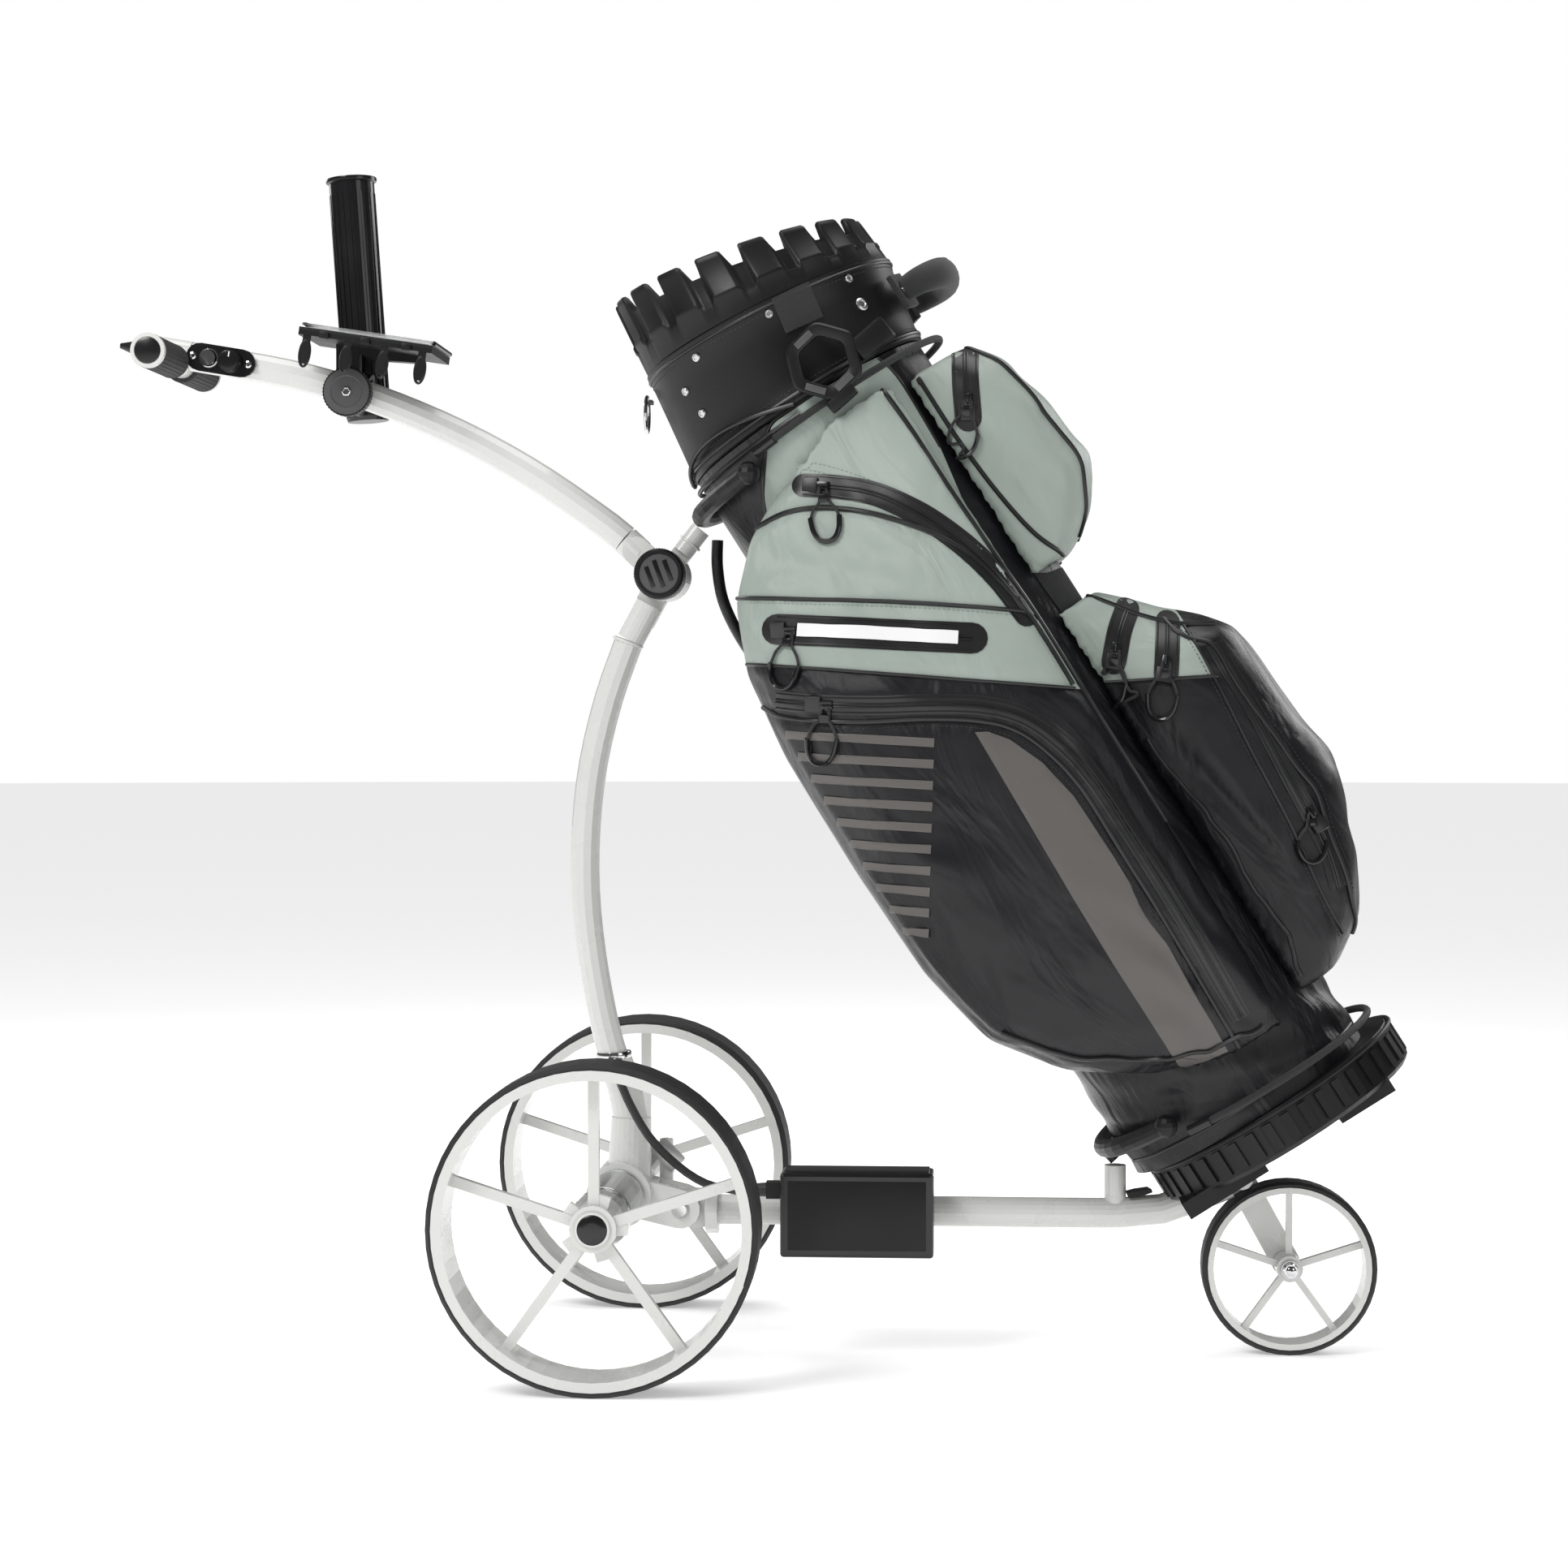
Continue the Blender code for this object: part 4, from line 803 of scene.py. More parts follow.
@dataclass
class ClothSurface:
    """A sewn surface that trims are laid on; everything is in the bag's frame."""

    base: Object
    parts: list[Object] = field(default_factory=list)

    def __post_init__(self) -> None:
        """Reads the base into a search tree in the bag's frame."""
        work = bmesh.new()
        work.from_mesh(self.base.data)
        work.transform(BAG.inverted())
        self.tree = BVHTree.FromBMesh(work)
        work.free()

    def touch(self, a: float, w: float, lay: Lay) -> tuple[Vector, Vector]:
        """The point and the normal where a drawing's point lands."""
        start, way = lay.ray(a, w)
        where, normal, _, _ = self.tree.ray_cast(start, way)
        if where is None:
            where, normal, _, _ = self.tree.find_nearest(start + way * 0.34)
        if normal.dot(way) > 0:
            normal = -normal
        return where, normal

    def line(self, drawing: Sequence[Flat], lay: Lay, lift: float = 0.0, closed: bool = False,
            step: float = 0.004) -> list[Vector]:
        """A drawing's smooth line laid on the surface and lifted off it."""
        flat = smooth_line([(a, w, 0.0) for a, w in drawing], closed, step)
        laid = []
        for p in flat:
            where, normal = self.touch(p.x, p.y, lay)
            laid.append(where + normal * lift)
        if not closed:
            laid = longest_run(laid, 3.2 * step)
        for _ in range(2):
            laid = [laid[i] if not closed and i in (0, len(laid) - 1) else
                (laid[i - 1] + laid[i] * 2 + laid[(i + 1) % len(laid)]) / 4 for i in
                range(len(laid))]
        return laid

    def piping(self, name: str, drawing: Sequence[Flat], lay: Lay, radius: float = 0.0022,
            finish: Finish = PIPING, closed: bool = False) -> None:
        """A round covered cord sewn along a line."""
        path = self.line(drawing, lay, radius * 0.35, closed)
        self.parts.append(swept(name, path, radius, finish, 8, closed, place=BAG))

    def panel(self, name: str, outline: Sequence[Flat], lay: Lay, finish: Finish,
            lift: float = 0.0006, step: float = 0.006, thick: float = 0.0012) -> None:
        """A patch laid on the surface: its outline is exact and its rim has thickness."""
        edge = list(outline)
        inner = grid_inside(edge, step)
        points, _, faces, _, _, _ = delaunay_2d_cdt([Vector(p) for p in edge + inner],
            [(i, (i + 1) % len(edge)) for i in range(len(edge))], [], 1, 1e-6)
        top, bottom = [], []
        for p in points:
            where, normal = self.touch(p.x, p.y, lay)
            top.append(where + normal * lift)
            bottom.append(where + normal * (lift - thick))
        count = len(points)
        shell = [list(f) for f in faces] + [[count + i for i in reversed(f)] for f in faces]
        seen: dict[tuple[int, int], int] = {}
        for f in faces:
            for i, k in zip(f, list(f[1:]) + [f[0]]):
                seen[(i, k)] = 1
        shell += [[k, i, count + i, count + k] for i, k in seen if (k, i) not in seen]
        made = make_object(name, top + bottom, shell, finish, BAG, crease=50.0)
        self.parts.append(made)

    def band(self, name: str, drawing: Sequence[Flat], width: float, lay: Lay, finish: Finish,
            lift: float = 0.0006, rounded: bool = True) -> None:
        """A strip of constant width along a drawn line, with round ends where asked."""
        flat = smooth_line([(a, w, 0.0) for a, w in drawing], False, 0.006)
        half = width / 2
        left, right = [], []
        for i, p in enumerate(flat):
            along = (flat[min(i + 1, len(flat) - 1)] - flat[max(i - 1, 0)]).normalized()
            aside = Vector((-along.y, along.x, 0.0)) * half
            left.append((p.x + aside.x, p.y + aside.y))
            right.append((p.x - aside.x, p.y - aside.y))
        caps: list[list[Flat]] = [[], []]
        if rounded:
            for side, (p, q) in enumerate(((flat[0], flat[1]), (flat[-1], flat[-2]))):
                away = (p - q).normalized()
                start = atan2(away.y, away.x) + pi / 2
                caps[side] = [(p.x + half * cos(start - pi * k / 8),
                    p.y + half * sin(start - pi * k / 8)) for k in range(1, 8)]
        outline = left + caps[1] + right[::-1] + caps[0]
        self.panel(name, outline, lay, finish, lift, step=max(0.004, width / 4))

    def stitches(self, name: str, drawing: Sequence[Flat], lay: Lay, finish: Finish,
            pitch: float = 0.0042) -> None:
        """One row of machine stitches along a drawn line."""
        path = self.line(drawing, lay, 0.0003)
        self.parts.append(Repeat.make("run", name, finish, BAG, path, Pitch=pitch,
            Length=pitch * 0.72, Thickness=0.0009))

    def zip(self, name: str, drawing: Sequence[Flat], width: float, lay: Lay, rounded: bool = True,
            stitched: bool = True) -> None:
        """A sealed zip: rubberised tape with two closed lips and a stitched rim."""
        self.band(name + "_tape", drawing, width, lay, ZIP_TAPE, 0.0008, rounded)
        flat = [Vector(p) for p in drawing]
        lips = []
        for sign in (-1, 1):
            shifted = []
            for i, p in enumerate(flat):
                along = (flat[min(i + 1, len(flat) - 1)] - flat[max(i - 1, 0)]).normalized()
                shifted.append((p.x - along.y * 0.0013 * sign, p.y + along.x * 0.0013 * sign))
            path = self.line(shifted, lay, 0.001)
            lips.append(swept(f"{name}_lip_{sign}", path, 0.00125, ZIP_TAPE, 6, flat=0.7,
                place=BAG))
            if stitched:
                edge = [(p.x + (q[0] - p.x) * (width / 2 - 0.0022) / 0.0013,
                    p.y + (q[1] - p.y) * (width / 2 - 0.0022) / 0.0013) for p,
                    q in zip(flat, shifted)]
                rail = self.line(edge, lay, 0.0009)
                lips.append(swept(f"{name}_weld_{sign}", rail, 0.0007, PIPING, 6, place=BAG))
        self.parts += lips

    def slider(self, name: str, at: Flat, along: Flat, lay: Lay, finish: Finish = SMOOTH_PLASTIC,
            drop: float = 0.05, swing: float = 0.0) -> None:
        """A zip slider with its bridge, and the cord loop that hangs from it with a moulded end."""
        where, normal = self.touch(*at, lay)
        ahead, _ = self.touch(at[0] + along[0] * 0.004, at[1] + along[1] * 0.004, lay)
        place = BAG @ surface_place(where + normal * 0.0024, normal, ahead - where)
        self.parts += [block(name + "_body", (0.013, 0.0082, 0.0038), finish, place, 0.0012, 0.86),
            block(name + "_garage", (0.015, 0.015, 0.0022), ZIP_TAPE,
            place @ Matrix.Translation((-0.012, 0, -0.0008)), 0.0009, 0.9),
            swept(name + "_bridge", smooth_line([(-0.004, 0, 0.001), (-0.002, 0, 0.0042),
            (0.003, 0, 0.0042), (0.0052, 0, 0.001)], step=0.001), 0.001, finish, 8, place=place)]
        turn = radians(swing)
        down = (DOWN[0] * cos(turn) - DOWN[1] * sin(turn),
            DOWN[0] * sin(turn) + DOWN[1] * cos(turn))
        aside = (-down[1], down[0])

        def spot(far: float, wide: float) -> Flat:
            return at[0] + down[0] * far + aside[0] * wide, at[1] + down[1] * far + aside[1] * wide

        outline = mm((0, 0), (10, 3), (260, 4), (400, 9), (620, 12.8), (840, 10.5), (990, 4.5),
            (990, -4.5), (840, -10.5), (620, -12.8), (400, -9), (260, -4), (10, -3))
        loop = self.line([spot(drop * (far if far > 0.02 else 0.02), wide) for far,
            wide in outline], lay, 0.003, closed=True, step=0.002)
        self.parts.append(swept(name + "_cord", loop, 0.0014, BLACK_WEB, 7, closed=True, place=BAG))
        self.parts.append(Repeat.make("run", name + "_cord_twist", PIPING, BAG, loop, Pitch=0.003,
            Length=0.0021, Thickness=0.0026))
        grip = self.line([spot(drop * far, wide) for far,
            wide in mm((580, -13.2), (840, -11.2), (1000, -5), (1000, 5), (840, 11.2),
            (580, 13.2))], lay, 0.0034, step=0.002)
        self.parts.append(swept(name + "_puller", grip, 0.0026, finish, 8, flat=0.8, place=BAG))
        knot, lifted = self.touch(*spot(drop * 0.22, 0.0), lay)
        self.parts.append(block(name + "_knot", (0.0075, 0.0085, 0.0048), finish,
            BAG @ surface_place(knot + lifted * 0.0032, lifted, Vector((down[0], 0, down[1]))),
            0.0015))

    def finish_parts(self, name: str, body: str = "bag") -> None:
        """Joins the trims into one piece and hands it over."""
        if self.parts:
            settle(join(name, self.parts), body)
        self.parts = []


@dataclass(frozen=True)
class Fold:
    """A soft ridge or hollow pushed into the cloth along a line in (a, w)."""

    start: Flat
    end: Flat
    height: float
    width: float

    def push(self, a: np.ndarray, w: np.ndarray) -> np.ndarray:
        """How far each point moves outwards."""
        start, end = np.array(self.start), np.array(self.end)
        along = end - start
        length = float(np.hypot(*along))
        share = ((a - start[0]) * along[0] + (w - start[1]) * along[1]) / length ** 2
        off = np.abs((a - start[0]) * along[1] - (w - start[1]) * along[0]) / length
        taper = np.clip(np.sin(np.clip(share, 0, 1) * pi), 0, 1) ** 0.6
        return self.height * taper * np.exp(-(off / self.width) ** 2)


@dataclass
class StuffedForm:
    """A padded form that starts from a CAD solid, is inflated as cloth and then gets its folds."""

    node: str
    voxel: float = 0.006
    shrink: float = 0.003
    cap: float = 0.009
    pressure: float = 4.0
    frames: int = 18

    def start(self, name: str) -> Object:
        """Copies the solid, merges its points and remeshes it evenly."""
        mesh = frame["nodes"][self.node].data.copy()
        work = bmesh.new()
        work.from_mesh(mesh)
        bmesh.ops.remove_doubles(work, verts=work.verts, dist=1e-5)
        work.to_mesh(mesh)
        work.free()
        mesh.materials.clear()
        made = bpy.data.objects.new(name, mesh)
        link(made)
        modifier = made.modifiers.new("even", "REMESH")
        modifier.mode = "VOXEL"
        modifier.voxel_size = self.voxel
        bake(made)
        return made

    def inflate(self, made: Object, held: np.ndarray) -> None:
        """Swells the form as cloth; held points stay and no point moves beyond the cap."""
        mesh = made.data
        count = len(mesh.vertices)
        rest = np.empty(count * 3)
        mesh.vertices.foreach_get("co", rest)
        rest = rest.reshape(-1, 3)
        normals = np.empty(count * 3)
        mesh.vertices.foreach_get("normal", normals)
        normals = normals.reshape(-1, 3)
        slim = rest - normals * (self.shrink * (1 - held))[:, None]
        mesh.vertices.foreach_set("co", slim.reshape(-1))
        mesh.update()
        group = made.vertex_groups.new(name="held")
        for weight, chosen in ((1.0, np.nonzero(held > 0.5)[0]),
                (0.0, np.nonzero(held <= 0.5)[0])):
            group.add([int(i) for i in chosen], weight, "REPLACE")
        cloth = made.modifiers.new("air", "CLOTH")
        settings = cloth.settings
        settings.vertex_group_mass = "held"
        settings.use_pressure = True
        settings.uniform_pressure_force = self.pressure
        settings.quality = 4
        settings.tension_stiffness = settings.compression_stiffness = 18.0
        settings.bending_stiffness = 0.6
        settings.effector_weights.gravity = 0.0
        cloth.collision_settings.use_collision = False
        cloth.collision_settings.use_self_collision = False
        cloth.point_cache.frame_start, cloth.point_cache.frame_end = 1, self.frames
        scene = bpy.context.scene
        for step in range(1, self.frames + 1):
            scene.frame_set(step)
        graph = bpy.context.evaluated_depsgraph_get()
        swollen = made.evaluated_get(graph).to_mesh()
        moved = np.empty(count * 3)
        swollen.vertices.foreach_get("co", moved)
        made.evaluated_get(graph).to_mesh_clear()
        made.modifiers.clear()
        made.vertex_groups.clear()
        scene.frame_set(1)
        step = np.nan_to_num(moved.reshape(-1, 3)) - slim
        length = np.linalg.norm(step, axis=1)
        step *= np.minimum(1.0, self.cap / np.maximum(length, 1e-9))[:, None]
        slim = slim + step
        mesh.vertices.foreach_set("co", slim.reshape(-1))
        mesh.update()
        work = bmesh.new()
        work.from_mesh(mesh)
        free = [v for v in work.verts]
        for _ in range(5):
            bmesh.ops.smooth_vert(work, verts=free, factor=0.5, use_axis_x=True, use_axis_y=True,
                use_axis_z=True)
        work.to_mesh(mesh)
        work.free()

    @staticmethod
    def sculpt(made: Object, lay: Lay, folds: Sequence[Fold], seams: Sequence[Sequence[Flat]],
            depth: float = 0.0022, width: float = 0.006, ripple: float = 0.0006) -> None:
        """Pushes folds out, pulls seams in and adds a slow unevenness on the outward side."""
        back = np.array(BAG.inverted())
        mesh = made.data
        count = len(mesh.vertices)
        points, normals = np.empty(count * 3), np.empty(count * 3)
        mesh.vertices.foreach_get("co", points)
        mesh.vertices.foreach_get("normal", normals)
        points, normals = points.reshape(-1, 3), normals.reshape(-1, 3)
        local = points @ back[:3, :3].T + back[:3, 3]
        turned_normals = normals @ back[:3, :3].T
        if lay is Lay.FRONT:
            a, faces_out = local[:, 1], np.clip(turned_normals[:, 0] * 2, 0, 1)
        else:
            a, faces_out = local[:, 0], np.clip(turned_normals[:, 1] * lay.value * 2, 0, 1)
        w = local[:, 2]
        push = sum((fold.push(a, w) for fold in folds), np.zeros(count))
        for seam in seams:
            line = np.array([(p.x, p.y) for p in smooth_line([(x, y, 0.0) for x, y in seam],
                step=0.004)])
            near = np.full(count, 1.0)
            for p in line:
                near = np.minimum(near, np.hypot(a - p[0], w - p[1]))
            push -= depth * np.exp(-(near / width) ** 2)
        push += ripple * np.sin(a * 61 + 3 * np.sin(w * 23)) * np.sin(w * 37 + 2 * np.sin(a * 41))
        points = points + normals * (push * faces_out)[:, None]
        mesh.vertices.foreach_set("co", points.reshape(-1))
        mesh.update()

    @staticmethod
    def cut_colours(made: Object, finishes: tuple[Finish, Finish],
            planes: Sequence[tuple[Vector, Vector]]) -> None:
        """Cuts the mesh along planes; faces in front of all of them get the second finish."""
        made.data.materials.clear()
        for finish in finishes:
            made.data.materials.append(finish.material())
        work = bmesh.new()
        work.from_mesh(made.data)
        turned_planes = [(BAG @ point, BAG.to_3x3() @ normal) for point, normal in planes]
        for point, normal in turned_planes:
            bmesh.ops.bisect_plane(work, geom=work.verts[:] + work.edges[:] + work.faces[:],
                dist=1e-5, plane_co=point, plane_no=normal)
        for face in work.faces:
            middle = face.calc_center_median()
            chosen = all((middle - point).dot(normal) > 0 for point, normal in turned_planes)
            face.material_index = 1 if chosen else 0
            face.smooth = True
        work.to_mesh(made.data)
        work.free()


# ---------------------------------------------------------------- the bag


@dataclass
class SidePocket:
    """The full-length pocket on one side, with its zips, piping, printed bars and stripe."""

    side: Side
    seam_left: Flat = (-0.186, 0.634)
    seam_right: Flat = (0.054, 0.453)
    edge_cord: float = 0.0024
    bar_height: float = 0.0078
    outline: tuple[Flat, ...] = mm((-36, 770), (-76, 744), (-112, 720), (-146, 690), (-168, 662),
        (-182, 632), (-190, 590), (-193, 540), (-194, 460), (-193, 320), (-186, 262), (-168, 212),
        (-139, 174), (-105, 146), (-67, 124), (-27, 111), (12, 105), (44, 104))
    front_edge: tuple[Flat, ...] = mm((46, 104), (53, 142), (56, 228), (58, 311), (59, 438),
        (60, 525), (58, 581), (56, 658), (56, 729), (54, 770))
    upper_piping: tuple[Flat, ...] = mm((-106, 726), (-77, 722), (-46, 707), (-14, 680), (16, 644),
        (37, 608), (48, 568), (54, 530), (55, 500), (54, 457))
    upper_zip: tuple[Flat, ...] = mm((-50, 734), (-26, 716), (-3, 694), (13, 671), (28, 643),
        (42, 604), (50, 567), (53, 530))
    top_stitch: tuple[Flat, ...] = mm((-57, 764), (-35, 749), (-7, 717), (22, 674), (40, 635),
        (52, 596))
    level_piping: tuple[Flat, ...] = mm((-160, 687), (-98, 643), (-40, 603), (12, 565), (52, 534))
    value_zip: tuple[Flat, ...] = mm((-138, 638), (-60, 582), (2, 538))
    value_strip: tuple[Flat, ...] = mm((-122, 627.5), (-60, 582.5), (-8, 545))
    apparel_piping: tuple[Flat, ...] = mm((-190, 596), (-174, 569), (-124, 532), (-71, 501),
        (-33, 475), (-10, 451), (3, 421), (11, 379), (11, 313), (10, 226), (6, 109))
    apparel_zip: tuple[Flat, ...] = mm((-172, 586), (-140, 561), (-100, 534), (-60, 510),
        (-22, 484), (4, 456), (19, 420), (26, 379), (27, 313), (26, 226), (22, 130))
    stripe: tuple[Flat, ...] = mm((-40, 468), (-46, 300), (-50, 119), (-24, 114), (-4, 111),
        (1, 219), (3, 313), (2, 375), (-5, 414), (-18, 446), (-30, 462))
    bar_left: tuple[Flat, Flat] = ((-0.184, 0.553), (-0.19, 0.352))
    bar_right: tuple[Flat, Flat] = ((-0.077, 0.476), (-0.171, 0.338))
    bars: int = 10

    def build(self) -> None:
        """Builds the pocket and its trims."""
        name = f"side_pocket_{self.side.word}"
        lay = Lay.LEFT if self.side is Side.LEFT else Lay.RIGHT
        form = StuffedForm(name)
        base = form.start(name + "_cloth")
        form.inflate(base, self._held(base))
        seams = [self.upper_piping, self.level_piping, (self.seam_left, self.seam_right),
            self.apparel_piping]
        form.sculpt(base, lay, self._folds(), seams)
        along = Vector((self.seam_right[0] - self.seam_left[0], 0,
            self.seam_right[1] - self.seam_left[1]))
        up = Vector((-along.z, 0, along.x))
        form.cut_colours(base, (BLACK_CLOTH, SAGE_CLOTH),
            [(Vector((self.seam_left[0], 0, self.seam_left[1])), up)])
        settle(base, "bag", (name,))
        cloth = ClothSurface(base)
        self._sew(cloth, lay)
        self._print(cloth, lay)
        self._zips(cloth, lay)
        cloth.finish_parts(name + "_trims")

    def _held(self, base: Object) -> np.ndarray:
        """1 where the pocket meets the body or the collar, and 0 where it can swell."""
        back = BAG.inverted()
        turn = back.to_3x3()
        held = []
        for vertex in base.data.vertices:
            local, normal = back @ vertex.co, turn @ vertex.normal
            inward = normal.y * self.side.value < -0.25 or abs(local.y) < 0.118
            held.append(1.0 if inward or local.z > 0.764 else 0.0)
        return np.array(held)

    def _folds(self) -> list[Fold]:
        """Pulls that run from the corners, the seams and the zips."""
        return [Fold((-0.15, 0.66), (-0.02, 0.6), 0.0032, 0.012),
            Fold((-0.12, 0.7), (-0.03, 0.63), -0.0026, 0.011),
            Fold((-0.04, 0.69), (0.045, 0.56), 0.0023, 0.01),
            Fold((-0.09, 0.69), (0.01, 0.6), 0.0023, 0.009),
            Fold((-0.17, 0.6), (-0.04, 0.5), 0.0026, 0.008),
            Fold((-0.18, 0.43), (-0.06, 0.33), 0.0026, 0.02),
            Fold((-0.16, 0.33), (-0.06, 0.18), -0.0029, 0.022),
            Fold((-0.12, 0.21), (-0.02, 0.15), 0.0032, 0.012),
            Fold((-0.18, 0.3), (-0.11, 0.19), 0.0029, 0.012),
            Fold((-0.09, 0.45), (-0.07, 0.25), -0.002, 0.02),
            Fold((0.018, 0.46), (0.034, 0.22), 0.0029, 0.007),
            Fold((0.04, 0.44), (0.04, 0.18), -0.0029, 0.006),
            Fold((-0.13, 0.16), (-0.02, 0.13), 0.0023, 0.007),
            Fold((-0.1, 0.74), (-0.03, 0.72), 0.002, 0.008)]

    def _sew(self, cloth: ClothSurface, lay: Lay) -> None:
        """Piping and seams."""
        stem = f"piping_{self.side.word}"
        for part, drawing, radius in (("outline", self.outline, self.edge_cord),
                ("front", self.front_edge, self.edge_cord),
                ("upper", self.upper_piping, self.edge_cord), ("level", self.level_piping, 0.002),
                ("seam", (self.seam_left, (-0.066, 0.5435), self.seam_right), 0.0016),
                ("apparel", self.apparel_piping, 0.0022)):
            cloth.piping(f"{stem}_{part}", drawing, lay, radius)
        for k, shift in enumerate((0.0, 0.0055)):
            cloth.stitches(f"{stem}_stitch_{k}", [(u - shift * 0.8, w - shift) for u,
                w in self.top_stitch], lay, THREAD_SAGE)
        cloth.stitches(stem + "_level_stitch", [(u, w - 0.0052) for u, w in self.level_piping], lay,
            THREAD_SAGE)
        cloth.stitches(stem + "_seam_stitch", [self.seam_left, self.seam_right], lay, THREAD_BLACK)
        cloth.stitches(stem + "_apparel_stitch", [(u - 0.0055, w - 0.0035) for u,
            w in self.apparel_piping[1:-1]], lay, THREAD_BLACK)

    def _print(self, cloth: ClothSurface, lay: Lay) -> None:
        """The grey stripe and the ten grey bars, which fade in length down the pocket."""
        stem = f"print_{self.side.word}"
        cloth.panel(stem + "_stripe", self.stripe, lay, REFLECT, 0.001, 0.005, 0.0018)
        for i in range(self.bars):
            share = i / (self.bars - 1)
            left = tuple(a + (b - a) * share for a, b in zip(*self.bar_left))
            right = tuple(a + (b - a) * share for a, b in zip(*self.bar_right))
            run = (right[0] - left[0], right[1] - left[1])
            long = hypot(*run)
            if long < 0.004:
                continue
            rise = (-run[1] / long * self.bar_height, run[0] / long * self.bar_height)
            outline = [left, right, (right[0] + rise[0], right[1] + rise[1]),
                (left[0] + rise[0], left[1] + rise[1])]
            cloth.panel(f"{stem}_bar_{i}", outline, lay, REFLECT, 0.001, 0.003, 0.0018)

    def _zips(self, cloth: ClothSurface, lay: Lay) -> None:
        """Three zips and their sliders."""
        stem = f"zip_{self.side.word}"
        cloth.zip(stem + "_upper", self.upper_zip, 0.021, lay)
        cloth.zip(stem + "_value", self.value_zip, 0.027, lay)
        cloth.band(stem + "_value_strip", self.value_strip, 0.0115, lay, WHITE_PRINT, 0.0026,
            rounded=False)
        cloth.zip(stem + "_apparel", self.apparel_zip, 0.017, lay, rounded=False)
        cloth.slider(stem + "_upper_slider", (-0.036, 0.7235), (0.8, -0.6), lay, swing=6)
        cloth.slider(stem + "_value_slider", (-0.128, 0.6305), (0.82, -0.58), lay, swing=-8)
        cloth.slider(stem + "_apparel_slider", (-0.136, 0.558), (0.82, -0.58), lay, swing=-6)


@dataclass
class FrontTopPocket:
    """The ball pocket high on the front."""

    body: str = "front_top_pocket"
    edge: tuple[Flat, ...] = mm((66, 766), (76, 752), (81, 720), (83, 680), (83, 640), (78, 604),
        (66, 580), (46, 568))
    root: tuple[Flat, ...] = mm((88, 768), (88, 700), (92, 640), (100, 590), (112, 560))
    zip_line: tuple[Flat, ...] = mm((136, 760), (122, 738), (106, 708))

    def build(self) -> None:
        """Builds the pocket and its trims on both sides."""
        form = StuffedForm(self.body, cap=0.007)
        base = form.start("front_top_pocket_cloth")
        form.inflate(base, held_root(base, 0.092))
        for lay in (Lay.LEFT, Lay.RIGHT):
            form.sculpt(base, lay, [Fold((0.11, 0.7), (0.16, 0.62), 0.0029, 0.01),
                Fold((0.12, 0.66), (0.15, 0.59), -0.0026, 0.009),
                Fold((0.128, 0.74), (0.165, 0.68), 0.002, 0.01)], [])
        form.sculpt(base, Lay.FRONT, [Fold((-0.07, 0.64), (0.07, 0.6), 0.0029, 0.014),
            Fold((-0.06, 0.73), (0.05, 0.7), -0.0026, 0.016)], [])
        form.cut_colours(base, (SAGE_CLOTH, SAGE_CLOTH), [(Vector((0, 0, 0)), Vector((0, 0, 1)))])
        settle(base, "bag", (self.body,))
        cloth = ClothSurface(base)
        for lay in (Lay.LEFT, Lay.RIGHT):
            stem = f"top_pocket_{lay.name.lower()}"
            edge = [(0.8 * y * lay.value, w) for y, w in self.edge]
            cloth.piping(stem + "_edge", edge, Lay.FRONT, 0.0024)
            cloth.piping(stem + "_root", self.root, lay, 0.0022)
            cloth.stitches(stem + "_stitch", [(y - 0.005 * lay.value, w) for y, w in edge[1:-1]],
                Lay.FRONT, THREAD_SAGE)
            cloth.zip(stem + "_zip", self.zip_line, 0.024, lay)
            cloth.slider(stem + "_slider", (0.115, 0.722), (0.55, 0.83), lay, swing=8 * lay.value)
        cloth.finish_parts("front_top_pocket_trims")


def held_root(base: Object, depth: float) -> np.ndarray:
    """1 where a front pocket meets the body, and 0 where it can swell."""
    back = BAG.inverted()
    turn = back.to_3x3()
    held = []
    for vertex in base.data.vertices:
        local, normal = back @ vertex.co, turn @ vertex.normal
        held.append(1.0 if normal.x < -0.35 or local.x < depth else 0.0)
    return np.array(held)


